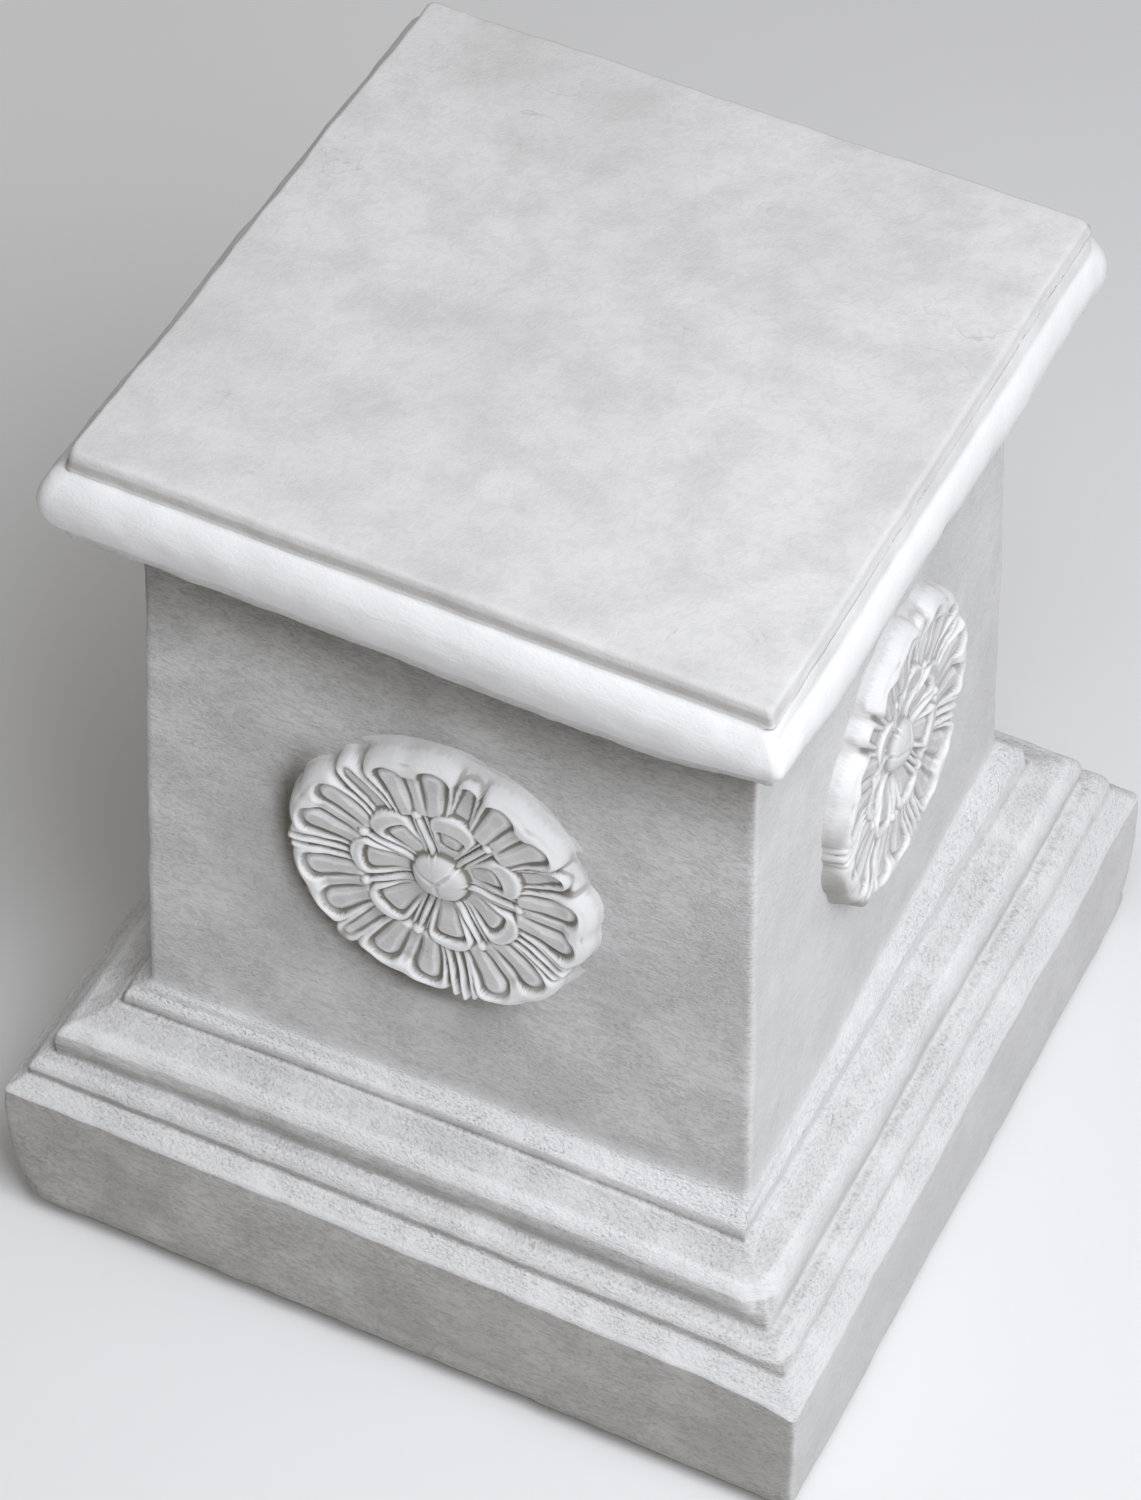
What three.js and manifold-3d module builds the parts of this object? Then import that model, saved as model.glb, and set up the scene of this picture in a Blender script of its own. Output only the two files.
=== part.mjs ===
// Garden plinth, cast in one piece: a block with a moulded base, a square shaft that tapers a little,
// a bullnosed cap, and a carved rosette standing off each of the four faces of the shaft.
// Units are millimetres. +Z is up, and the origin is on the ground, at the middle of the underside.

import * as THREE from 'three';
import { mergeVertices } from 'three/addons/utils/BufferGeometryUtils.js';
import Module from 'manifold-3d';

// Overall sizes
const BASE_WIDTH = 254;
const HEIGHT = 302.4;
const HALF = BASE_WIDTH / 2;

// Block: sides a little full, well rounded where they meet the ground
const BLOCK_TOP = 54.4;
const BLOCK_FOOT_RADIUS = 12;
const BLOCK_FOOT_CORNERS = [8, 9, 11, 5];
const BLOCK_FULLNESS = 0.9;
const BLOCK_FULLEST_Z = 32;
const BLOCK_FOOT_TO = -15;
const BLOCK_FOOT_STEPS = 5;
const BLOCK_SIDE_STEPS = 4;
const BLOCK_ARRIS_RADIUS = 1.6;
const BLOCK_ARRIS_FROM = 35;
const BLOCK_ARRIS_TO = 70;
const BLOCK_CORNERS = [3, 3.5, 2, 3];

// The block's top falls away towards the corner between -Y and +X
const BLOCK_DROPS = [-1.2, 0, 0, -5];

// Base moulding, from the block up to the shaft. R is a half width and Z a height.
const BEAD_FOOT = { r: 119.3, z: 57.6 };
const BEAD_HEIGHT = 6;
const BEAD_SQUARENESS = 0.8;
const BEAD_ANGLES = [20, 40, 60, 80];
const OVOLO_FOOT = { r: 112.6, z: 64.4 };
const OVOLO_ROLL_RADIUS = 7;
const OVOLO_ROLL_TO = 60;
const OVOLO_STEPS = 4;
const OVOLO_CREST_Z = 76.2;
const HOLLOW = { r: 102, z: 79 };
const LIP = { r: 99.3, z: 81.2 };
const GROOVE = { r: 97.9, z: 80.6 };
const LEDGE_EDGE = { r: 98, z: 84 };
const LEDGE_SHOULDER = { r: 97.3, z: 85.5 };
const LEDGE_HEAD = { r: 95.5, z: 87.4 };
const MOULDING_CORNER = 1.5;

// Shaft
const SHAFT_FOOT = { r: 93.4, z: 90.2 };
const SHAFT_HEAD = { r: 87.8, z: 255 };
const SHAFT_FLARE = 1.7;
const COVE = { r: 94.4, z: 88.6 };
const SHAFT_CORNER = 2.5;
const FLARE_STEPS = 3;

// Cap
const SOFFIT = 272.2;
const FILLET_HALF = 101.8;
const FILLET_EDGE_RADIUS = 0.8;
const FILLET_CORNER = 2;
const BULLNOSE_HALF = 106.5;
const BULLNOSE_RADIUS = 12.5;
const BULLNOSE_Z = 285.5;
const BULLNOSE_STEPS = 10;
const BULLNOSE_CORNERS = [9.5, 6, 4.5, 3.5];
const TOP_FOOT_HALF = 101.2;
const TOP_HALF = 99.7;
const TOP_ARRIS_RADIUS = 1.9;
const TOP_ARRIS_FROM = 15;
const TOP_ARRIS_STEPS = 3;
const TOP_CORNER = 2;

// The upper members sit a touch turned and shifted on the block, as the casting shows
const LEDGE_SEAT = { turn: THREE.MathUtils.degToRad(0.6), x: -0.9, y: -0.3 };
const SHAFT_SEAT = { turn: THREE.MathUtils.degToRad(1.7), x: -1.5, y: -0.7 };
const CAP_SEAT = { turn: THREE.MathUtils.degToRad(-0.5), x: -0.4, y: -0.2 };
const BULLNOSE_SEAT = { turn: CAP_SEAT.turn, x: -1.5, y: CAP_SEAT.y };
const BLOCK_SEAT = { turn: 0, x: 0, y: 0 };
const NO_DROPS = [0, 0, 0, 0];

// Rosette: a shallow dish of seven cleft petals round seven smaller cupped ones and a bud
const PETALS = 7;
const ROSETTE_Z = 183.5;
const ROSETTE_ASIDE = 0.8;
const ROSETTE_ROOT = 1.5;
const FIRST_PETAL = THREE.MathUtils.degToRad(103);
const FOOT_RADIUS = 46;
const RIM = { radius: 41.6, height: 7.7, width: 2.9 };
const RIM_SWELL = 0.9;
const PETAL_FLOOR = 3.4;
const PETAL_FOLD = { at: 0, rise: 1.7, width: 0.16 };
const PETAL_SIDE = { at: 0.66, rise: 1.5, width: 0.12 };
const PETAL_CREASE = { at: 0.83, rise: -1.9, width: 0.1 };
const LEAF = { at: 1, rise: 1.2, width: 0.12 };
const INNER_RIM = { radius: 24.2, height: 5.7, width: 2.4 };
const INNER_FLOOR = 2.4;
const INNER_DROP = 28.2;
const INNER_GAP = { from: 0.5, to: 0.85, share: 0.6 };
const INNER_SIDE = { at: 0.55, rise: 0.9, width: 0.14 };
const INNER_NOTCH = { at: 0.8, rise: -1.6, width: 0.1 };
const NOTCH_RADII = { from: 14, to: 20 };
const EYE_RADII = { from: 9, to: 15 };
const ROD = { at: 1, rise: 1.7, width: 0.13 };
const BUD = { radius: 8.7, height: 6.8, foot: 1.5 };

// Where the carving is sampled: shares of half a seventh, and radii
const SECTOR_SHARES = [-0.82, -0.66, -0.48, -0.22, 0, 0.22, 0.48, 0.66, 0.82, 1];
const CARVING_RADII = [5, 8.2, 9.4, 15, 21, 24.2, 27, 29, 34.5, 39, 41.8, 44.2, FOOT_RADIUS];

const CORNER_STEPS = 3;
const STONE_COLOUR = 0xd6d4d1;

const wasm = await Module();
wasm.setup();

// Points of the profile are { r, z, corner, seat }: half width, height, plan radius of the corners
// (one number, or one for each corner, anticlockwise from the +X +Y one), and the seat of their member.
// A point may also have drops, how much higher or lower each corner of its ring lies.
function profilePoint(r, z, corner, seat = BLOCK_SEAT) {
  return { r, z, corner, seat };
}

// An arc of the profile, by its centre, radius and first and last angle in degrees from outward.
function profileArc(centreR, centreZ, radius, from, to, steps, corner, seat = BLOCK_SEAT) {
  const points = [];
  for (let step = 0; step <= steps; step += 1) {
    const angle = THREE.MathUtils.degToRad(THREE.MathUtils.lerp(from, to, step / steps));
    const r = centreR + radius * Math.cos(angle);
    const z = centreZ + radius * Math.sin(angle);
    points.push(profilePoint(r, z, corner, seat));
  }
  return points;
}

// Block: quarter round at the ground, full sides, softened upper arris. Its top drops at some corners.
function blockProfile() {
  const foot = profileArc(HALF - BLOCK_FOOT_RADIUS, BLOCK_FOOT_RADIUS, BLOCK_FOOT_RADIUS,
    -90, BLOCK_FOOT_TO, BLOCK_FOOT_STEPS, BLOCK_FOOT_CORNERS);
  const side = [];
  const sideBottom = BLOCK_FOOT_RADIUS;
  const sideTop = BLOCK_TOP - BLOCK_ARRIS_RADIUS;
  for (let step = 0; step <= BLOCK_SIDE_STEPS; step += 1) {
    const share = step / BLOCK_SIDE_STEPS;
    const z = THREE.MathUtils.lerp(sideBottom, sideTop, share);
    const offset = (z - BLOCK_FULLEST_Z) / (sideTop - BLOCK_FULLEST_Z);
    const corners = BLOCK_CORNERS.map((corner, quarter) => (
      THREE.MathUtils.lerp(BLOCK_FOOT_CORNERS[quarter], corner, Math.sqrt(share))
    ));
    const point = profilePoint(HALF - BLOCK_FULLNESS * offset * offset, z, corners);
    side.push({ ...point, drops: BLOCK_DROPS.map((drop) => drop * share) });
  }
  const arris = profileArc(HALF - BLOCK_FULLNESS - BLOCK_ARRIS_RADIUS, sideTop, BLOCK_ARRIS_RADIUS,
    BLOCK_ARRIS_FROM, BLOCK_ARRIS_TO, 1, BLOCK_CORNERS);
  const dropped = arris.map((point) => ({ ...point, drops: BLOCK_DROPS }));
  return [...foot, ...side, ...dropped];
}

// Base moulding: sloped margin, bead, ovolo with a hollow and a lip above it, groove and ledge.
function mouldingProfile() {
  const corner = MOULDING_CORNER;
  const points = [profilePoint(BEAD_FOOT.r, BEAD_FOOT.z, corner)];
  const beadReach = BEAD_FOOT.r - OVOLO_FOOT.r;
  for (const degrees of BEAD_ANGLES) {
    const angle = THREE.MathUtils.degToRad(degrees);
    const r = OVOLO_FOOT.r + beadReach * Math.cos(angle) ** BEAD_SQUARENESS;
    const z = BEAD_FOOT.z + BEAD_HEIGHT * Math.sin(angle);
    points.push(profilePoint(r, z, corner));
  }
  points.push(profilePoint(OVOLO_FOOT.r, OVOLO_FOOT.z, corner));
  const rollR = OVOLO_FOOT.r - OVOLO_ROLL_RADIUS;
  const rollZ = OVOLO_CREST_Z - OVOLO_ROLL_RADIUS * Math.sin(THREE.MathUtils.degToRad(OVOLO_ROLL_TO));
  points.push(...profileArc(rollR, rollZ, OVOLO_ROLL_RADIUS, 0, OVOLO_ROLL_TO, OVOLO_STEPS, corner));
  points.push(profilePoint(HOLLOW.r, HOLLOW.z, corner));
  points.push(profilePoint(LIP.r, LIP.z, corner));
  points.push(profilePoint(GROOVE.r, GROOVE.z, corner, LEDGE_SEAT));
  for (const point of [LEDGE_EDGE, LEDGE_SHOULDER, LEDGE_HEAD]) {
    points.push(profilePoint(point.r, point.z, corner, LEDGE_SEAT));
  }
  return points;
}

// Shaft: a small cove at its foot, a straight taper, and a slight flare under the cap.
function shaftProfile() {
  const points = [
    profilePoint(COVE.r, COVE.z, SHAFT_CORNER, SHAFT_SEAT),
    profilePoint(SHAFT_FOOT.r, SHAFT_FOOT.z, SHAFT_CORNER, SHAFT_SEAT),
  ];
  for (let step = 0; step <= FLARE_STEPS; step += 1) {
    const share = step / FLARE_STEPS;
    const r = SHAFT_HEAD.r + SHAFT_FLARE * share * share;
    const z = THREE.MathUtils.lerp(SHAFT_HEAD.z, SOFFIT, share);
    points.push(profilePoint(r, z, SHAFT_CORNER, SHAFT_SEAT));
  }
  return points;
}

// Cap: flat soffit, low fillet, bullnose, and the raised top with its softened arris.
function capProfile() {
  const points = [];
  points.push(profilePoint(FILLET_HALF - FILLET_EDGE_RADIUS, SOFFIT, FILLET_CORNER, CAP_SEAT));
  points.push(profilePoint(FILLET_HALF, SOFFIT + FILLET_EDGE_RADIUS, FILLET_CORNER, CAP_SEAT));
  const centreR = BULLNOSE_HALF - BULLNOSE_RADIUS;
  const lowest = -Math.acos((FILLET_HALF - centreR) / BULLNOSE_RADIUS);
  const highest = Math.acos((TOP_FOOT_HALF - centreR) / BULLNOSE_RADIUS);
  const from = THREE.MathUtils.radToDeg(lowest);
  const to = THREE.MathUtils.radToDeg(highest);
  points.push(...profileArc(centreR, BULLNOSE_Z, BULLNOSE_RADIUS, from, to, BULLNOSE_STEPS,
    BULLNOSE_CORNERS, BULLNOSE_SEAT));
  const arris = profileArc(TOP_HALF - TOP_ARRIS_RADIUS, HEIGHT - TOP_ARRIS_RADIUS, TOP_ARRIS_RADIUS,
    TOP_ARRIS_FROM, 90, TOP_ARRIS_STEPS, TOP_CORNER, CAP_SEAT);
  points.push(...arris);
  return points;
}

// One ring of the body: a square of half width r with round corners, turned and shifted to its seat.
function planRing({ r, z, corner, seat, drops = NO_DROPS }) {
  const ring = [];
  for (let quarter = 0; quarter < 4; quarter += 1) {
    const radius = Array.isArray(corner) ? corner[quarter] : corner;
    for (let step = 0; step <= CORNER_STEPS; step += 1) {
      const local = (step / CORNER_STEPS) * (Math.PI / 2);
      const x = r - radius + radius * Math.cos(local);
      const y = r - radius + radius * Math.sin(local);
      const angle = quarter * (Math.PI / 2) + seat.turn;
      const planX = x * Math.cos(angle) - y * Math.sin(angle) + seat.x;
      const planY = x * Math.sin(angle) + y * Math.cos(angle) + seat.y;
      ring.push([planX, planY, z + drops[quarter]]);
    }
  }
  return ring;
}

// Closed surface through a stack of rings of equal count, with a fan to the middle at each end.
function stackedRings(rings, bottomCentre, topCentre) {
  const count = rings[0].length;
  const positions = [];
  for (const ring of rings) {
    for (const point of ring) positions.push(...point);
  }
  const bottom = positions.length / 3;
  const top = bottom + 1;
  positions.push(...bottomCentre, ...topCentre);
  const index = [];
  for (let row = 0; row + 1 < rings.length; row += 1) {
    for (let column = 0; column < count; column += 1) {
      const next = (column + 1) % count;
      const a = row * count + column;
      const b = row * count + next;
      const c = (row + 1) * count + next;
      const d = (row + 1) * count + column;
      index.push(a, b, c, a, c, d);
    }
  }
  const last = (rings.length - 1) * count;
  for (let column = 0; column < count; column += 1) {
    const next = (column + 1) % count;
    index.push(bottom, next, column);
    index.push(top, last + column, last + next);
  }
  const geometry = new THREE.BufferGeometry();
  geometry.setAttribute('position', new THREE.Float32BufferAttribute(positions, 3));
  geometry.setIndex(index);
  return mergeVertices(geometry, 1e-4);
}

function bodyGeometry() {
  const profile = [...blockProfile(), ...mouldingProfile(), ...shaftProfile(), ...capProfile()];
  const rings = profile.map(planRing);
  return stackedRings(rings, [0, 0, 0], [CAP_SEAT.x, CAP_SEAT.y, HEIGHT]);
}

// A smooth bump of height 1 at 0 that falls away over about the given width.
function bump(distance, width) {
  return Math.exp(-((distance / width) ** 2));
}

// Share of the way round half a seventh, -1 to 1, from the middle of an outer petal.
function shareOfPetal(angle) {
  const turns = ((angle - FIRST_PETAL) / (2 * Math.PI)) * PETALS;
  return 2 * (turns - Math.round(turns));
}

// Height of one ridge or crease of the carving, by its place across a petal.
function ridge({ at, rise, width }, across) {
  return rise * bump(across - at, width);
}

// Outer petals: two hollows parted by a fold, raised sides, a crease, and a thin leaf between petals.
function outerField(radius, share) {
  const across = Math.abs(share);
  const rim = (RIM.height - PETAL_FLOOR) * bump(radius - RIM.radius, RIM.width);
  const ridges = [PETAL_FOLD, PETAL_SIDE, PETAL_CREASE, LEAF].map((shape) => ridge(shape, across));
  return PETAL_FLOOR + rim + ridges.reduce((sum, height) => sum + height, 0);
}

// Inner petals: cups with a rolled rim, and a slim rod in each gap, in line with the outer folds.
function innerField(radius, share) {
  const across = 1 - Math.abs(share);
  const eye = THREE.MathUtils.smoothstep(radius, EYE_RADII.from, EYE_RADII.to);
  const floor = THREE.MathUtils.lerp(BUD.foot, INNER_FLOOR, eye);
  const gap = THREE.MathUtils.smoothstep(across, INNER_GAP.from, INNER_GAP.to);
  const rim = (INNER_RIM.height - INNER_FLOOR) * bump(radius - INNER_RIM.radius, INNER_RIM.width);
  const notch = THREE.MathUtils.smoothstep(radius, NOTCH_RADII.from, NOTCH_RADII.to);
  return floor + rim * (1 - INNER_GAP.share * gap) + ridge(INNER_SIDE, across)
    + ridge(INNER_NOTCH, across) * notch + ridge(ROD, across);
}

// Height of the carving above the face of the shaft, at a radius and a share of half a seventh.
function carvingHeight(radius, share) {
  if (radius >= FOOT_RADIUS) return 0;
  if (radius < BUD.radius) {
    return BUD.foot + (BUD.height - BUD.foot) * Math.sqrt(1 - (radius / BUD.radius) ** 2);
  }
  const drop = THREE.MathUtils.smoothstep(radius, INNER_RIM.radius, INNER_DROP);
  return THREE.MathUtils.lerp(innerField(radius, share), outerField(radius, share), drop);
}

// Outline of the rosette: the rim swells at each petal and draws in between them.
function outlineReach(radius, share) {
  const swell = RIM_SWELL * Math.cos(Math.PI * share);
  return radius + swell * THREE.MathUtils.smoothstep(radius, INNER_DROP, RIM.radius);
}

// One rosette lying in the XY plane, facing +Z, with its root sunk below the plane.
function rosetteGeometry() {
  const seventh = (2 * Math.PI) / PETALS;
  const angles = [];
  for (let petal = 0; petal < PETALS; petal += 1) {
    for (const share of SECTOR_SHARES) angles.push(FIRST_PETAL + (petal + share / 2) * seventh);
  }
  const rings = [];
  for (const radius of [FOOT_RADIUS, ...CARVING_RADII.toReversed()]) {
    const isRoot = rings.length === 0;
    const ring = angles.map((angle) => {
      const share = shareOfPetal(angle);
      const reach = outlineReach(radius, share);
      const height = isRoot ? -ROSETTE_ROOT : carvingHeight(radius, share);
      return [reach * Math.cos(angle), reach * Math.sin(angle), height];
    });
    rings.push(ring);
  }
  return stackedRings(rings, [0, 0, -ROSETTE_ROOT], [0, 0, BUD.height]);
}

// Places a rosette on one face: stood upright, leaned back with the taper, and carried round the shaft.
function rosetteOnFace(quarter) {
  const taper = Math.atan((SHAFT_FOOT.r - SHAFT_HEAD.r) / (SHAFT_HEAD.z - SHAFT_FOOT.z));
  const share = (ROSETTE_Z - SHAFT_FOOT.z) / (SHAFT_HEAD.z - SHAFT_FOOT.z);
  const faceR = THREE.MathUtils.lerp(SHAFT_FOOT.r, SHAFT_HEAD.r, share);
  const matrix = new THREE.Matrix4().makeTranslation(SHAFT_SEAT.x, SHAFT_SEAT.y, 0);
  matrix.multiply(new THREE.Matrix4().makeRotationZ(SHAFT_SEAT.turn + quarter * (Math.PI / 2)));
  matrix.multiply(new THREE.Matrix4().makeTranslation(ROSETTE_ASIDE, -faceR, ROSETTE_Z));
  matrix.multiply(new THREE.Matrix4().makeRotationX(Math.PI / 2 - taper));
  return rosetteGeometry().applyMatrix4(matrix);
}

function toSolid(geometry) {
  const vertProperties = Float32Array.from(geometry.attributes.position.array);
  const triVerts = Uint32Array.from(geometry.index.array);
  return new wasm.Manifold(new wasm.Mesh({ numProp: 3, vertProperties, triVerts }));
}

function toGeometry(solid) {
  const mesh = solid.getMesh();
  const geometry = new THREE.BufferGeometry();
  geometry.setAttribute('position', new THREE.BufferAttribute(Float32Array.from(mesh.vertProperties), 3));
  geometry.setIndex(new THREE.BufferAttribute(Uint32Array.from(mesh.triVerts), 1));
  geometry.computeVertexNormals();
  return geometry;
}

function plinthGeometry() {
  let solid = toSolid(bodyGeometry());
  for (let quarter = 0; quarter < 4; quarter += 1) {
    solid = solid.add(toSolid(rosetteOnFace(quarter)));
  }
  return toGeometry(solid);
}

const stone = new THREE.MeshStandardMaterial({
  name: 'cast_stone',
  color: STONE_COLOUR,
  roughness: 0.9,
  metalness: 0,
});

const plinth = new THREE.Mesh(plinthGeometry(), stone);
plinth.name = 'plinth';

const group = new THREE.Group();
group.add(plinth);

export default group;
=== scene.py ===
"""Square cast stone garden plinth with a carved rosette on each face, dressed for the camera.

The plinth is one casting. Its body is one closed surface, a profile carried round a square with round
corners, and each rosette is a closed surface in polar coordinates that is rooted in a face of the shaft.
Sizes are in millimetres and angles in degrees until a mesh is made, which is in metres.
"""

import logging
import math
from dataclasses import dataclass, field
from enum import Enum, IntEnum

import bpy
import numpy as np
from mathutils import Matrix, Vector


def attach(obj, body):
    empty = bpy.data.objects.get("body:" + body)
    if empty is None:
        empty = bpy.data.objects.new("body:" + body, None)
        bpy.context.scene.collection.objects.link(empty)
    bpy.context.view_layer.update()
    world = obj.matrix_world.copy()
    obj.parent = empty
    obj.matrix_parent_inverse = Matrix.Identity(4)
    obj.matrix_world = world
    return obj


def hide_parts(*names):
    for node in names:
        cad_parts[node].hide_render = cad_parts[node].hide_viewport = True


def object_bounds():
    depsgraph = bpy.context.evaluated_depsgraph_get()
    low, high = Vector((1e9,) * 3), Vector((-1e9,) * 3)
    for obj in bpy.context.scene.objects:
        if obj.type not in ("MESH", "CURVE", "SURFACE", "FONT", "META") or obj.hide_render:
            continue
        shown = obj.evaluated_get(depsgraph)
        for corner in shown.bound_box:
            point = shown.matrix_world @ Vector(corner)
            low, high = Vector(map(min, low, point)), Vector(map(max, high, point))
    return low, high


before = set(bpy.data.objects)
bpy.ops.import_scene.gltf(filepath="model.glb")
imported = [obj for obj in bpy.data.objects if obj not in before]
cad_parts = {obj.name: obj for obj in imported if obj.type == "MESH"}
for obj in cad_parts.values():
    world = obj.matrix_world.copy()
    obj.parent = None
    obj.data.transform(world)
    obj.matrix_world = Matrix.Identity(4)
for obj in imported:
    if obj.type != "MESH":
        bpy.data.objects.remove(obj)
CAD_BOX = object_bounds()

log = logging.getLogger("plinth")
MM = 0.001
NODE = "plinth"

# Height of a shape of the carving where it isn't, which is below everything
OUTSIDE = -9.0

# Sockets of a colour mix, which Blender gives no names of their own
MIX_SHARE = 0
MIX_UNDER = 6
MIX_OVER = 7
MIX_RESULT = 2


class Side(Enum):
    """The four faces of the shaft, by the quarter turns from the front face."""

    FRONT = 0
    RIGHT = 1
    BACK = 2
    LEFT = 3


def linear(hex_colour: str) -> tuple[float, float, float, float]:
    """Turns an sRGB hex colour to linear RGBA.

    Args:
        hex_colour: six hex digits, with or without a leading hash sign.

    Returns:
        The linear colour, with alpha 1.
    """
    digits = hex_colour.lstrip("#")
    channels = [int(digits[at : at + 2], 16) / 255 for at in (0, 2, 4)]
    turned = [c / 12.92 if c <= 0.04045 else ((c + 0.055) / 1.055) ** 2.4 for c in channels]
    return (*turned, 1.0)


def smoothstep(low: float, high: float, value: np.ndarray) -> np.ndarray:
    """Rises smoothly from 0 at low to 1 at high.

    Args:
        low: value where the rise starts.
        high: value where the rise ends; it may be less than low, for a fall.
        value: any array.

    Returns:
        An array of the shape of value.
    """
    share = np.clip((value - low) / (high - low), 0.0, 1.0)
    return share * share * (3 - 2 * share)


def smooth_min(a: np.ndarray, b: np.ndarray, width: float) -> np.ndarray:
    """Lower of two fields, with the corner between them rounded over a width.

    Args:
        a: first field.
        b: second field.
        width: how far apart the two may be and still be blended.

    Returns:
        The blended lower field.
    """
    share = np.clip(0.5 + 0.5 * (b - a) / width, 0.0, 1.0)
    return b + (a - b) * share - width * share * (1 - share)


def bump(distance: np.ndarray, width: float) -> np.ndarray:
    """Bell of height 1 at 0 that falls away over about the given width."""
    return np.exp(-((distance / width) ** 2))


def wrapped(degrees: np.ndarray) -> np.ndarray:
    """Brings angles in degrees to the range from -180 to 180."""
    return (degrees + 180) % 360 - 180


def waves(points: np.ndarray, shortest: float, longest: float, count: int, seed: int) -> np.ndarray:
    """Smooth random field: the mean of many plane waves of random direction, length and phase.

    Args:
        points: array of N points, N by 3, in millimetres.
        shortest: shortest wavelength.
        longest: longest wavelength.
        count: how many waves.
        seed: seed of the random numbers.

    Returns:
        N values of mean 0, mostly between -1 and 1.
    """
    random = np.random.default_rng(seed)
    directions = random.normal(size=(3, count))
    directions /= np.linalg.norm(directions, axis=0)
    lengths = shortest * (longest / shortest) ** random.random(count)
    phases = random.random(count) * 2 * math.pi
    field_sum = np.sin(points @ (directions * 2 * math.pi / lengths) + phases).sum(axis=1)
    return field_sum / math.sqrt(count)


def grid_faces(rows: int, columns: int) -> np.ndarray:
    """Quads of a grid whose rows are closed rings, one row of quads between each two rings.

    Args:
        rows: how many rings.
        columns: points in each ring.

    Returns:
        Quads as an array of corner numbers, N by 4.
    """
    row, column = np.meshgrid(np.arange(rows - 1), np.arange(columns), indexing="ij")
    following = (column + 1) % columns
    a = row * columns + column
    b = row * columns + following
    return np.stack([a, b, b + columns, a + columns], axis=-1).reshape(-1, 4)


def ring_mesh(
    name: str, rings: np.ndarray, first_pole: np.ndarray, last_pole: np.ndarray
) -> bpy.types.Object:
    """Makes a closed mesh from a stack of rings, with a fan to a pole at each end.

    Args:
        name: name of the object.
        rings: points in millimetres, rings by columns by 3.
        first_pole: the point that closes the first ring.
        last_pole: the point that closes the last ring.

    Returns:
        The new object, at the origin, with its place in its mesh.
    """
    rows, columns = rings.shape[:2]
    points = np.concatenate([rings.reshape(-1, 3), first_pole[None], last_pole[None]]) * MM
    quads = grid_faces(rows, columns)
    near = np.arange(columns)
    far = (near + 1) % columns
    start = (rows - 1) * columns
    first_fan = np.stack([np.full(columns, rows * columns), far, near], axis=-1)
    last_fan = np.stack([np.full(columns, rows * columns + 1), start + near, start + far], axis=-1)
    faces = quads.tolist() + first_fan.tolist() + last_fan.tolist()
    mesh = bpy.data.meshes.new(name)
    mesh.from_pydata(points.tolist(), [], faces)
    mesh.polygons.foreach_set("use_smooth", np.ones(len(mesh.polygons), bool))
    mesh.update()
    piece = bpy.data.objects.new(name, mesh)
    bpy.context.scene.collection.objects.link(piece)
    return piece


def dress(piece: bpy.types.Object, stone: bpy.types.Material, numbers: dict[str, np.ndarray]) -> None:
    """Stores the numbers that the stone reads on each point of a ring mesh, and gives it the stone.

    Args:
        piece: a ring mesh, whose points are those of its rings and then the two poles.
        stone: its material.
        numbers: an array of rings by columns for each name.
    """
    for name, values in numbers.items():
        flat = values.reshape(-1)
        with_poles = np.concatenate([flat, flat[:1], flat[-1:]])
        attribute = piece.data.attributes.new(name, "FLOAT", "POINT")
        attribute.data.foreach_set("value", with_poles.astype(np.float32))
    piece.data.materials.append(stone)
    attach(piece, "root")


def ring_normals(rings: np.ndarray) -> np.ndarray:
    """Outward unit normals of a stack of closed rings, from the differences of neighbouring points.

    Args:
        rings: points, rings by columns by 3.

    Returns:
        Normals of the same shape.
    """
    along = np.roll(rings, -1, axis=1) - np.roll(rings, 1, axis=1)
    up = np.gradient(rings, axis=0)
    normals = np.cross(along, up)
    return normals / np.maximum(np.linalg.norm(normals, axis=-1, keepdims=True), 1e-9)


def add_node(
    tree: bpy.types.NodeTree,
    kind: str,
    inputs: dict[str | int, object],
    output: str | int = 0,
    **settings: object,
) -> bpy.types.NodeSocket:
    """Adds one node to a tree, with its settings and links.

    Args:
        tree: the node tree.
        kind: Blender's name for the kind of node.
        inputs: for each input, by name or number, its value or the socket that feeds it.
        output: name or number of the output that is wanted.
        **settings: the node's own properties.

    Returns:
        The wanted output.
    """
    made = tree.nodes.new(kind)
    for name, value in settings.items():
        setattr(made, name, value)
    for key, value in inputs.items():
        if isinstance(value, bpy.types.NodeSocket):
            tree.links.new(value, made.inputs[key])
        else:
            made.inputs[key].default_value = value
    return made.outputs[output]


@dataclass(frozen=True)
class Pattern:
    """One noise in the stone.

    It has the real size of its features, its finer octaves, how far it is folded into itself, and whether
    it is pressed flat along Z.
    """

    name: str
    size_mm: float
    octaves: float
    fold: float = 0.0
    pressed: bool = False


@dataclass(frozen=True)
class Spread:
    """A share worked out from another number: 0 at its low value, 1 at its high value, smooth between."""

    name: str
    source: str
    low: float
    high: float


@dataclass(frozen=True)
class Layer:
    """One layer of colour.

    It has the number that places it, the values of that number where it is absent and full, its greatest
    share, the number that limits it, its colour, and the curve that it grows by.
    """

    source: str
    absent_at: float
    full_at: float
    share: float
    limit: str | None
    colour: str
    curve: str = "SMOOTHSTEP"


@dataclass(frozen=True)
class Relief:
    """A fine relief: what gives its height, how strongly it shows, its real depth, and what limits it."""

    source: str
    strength: float
    depth_mm: float
    limit: str | None = None


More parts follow.
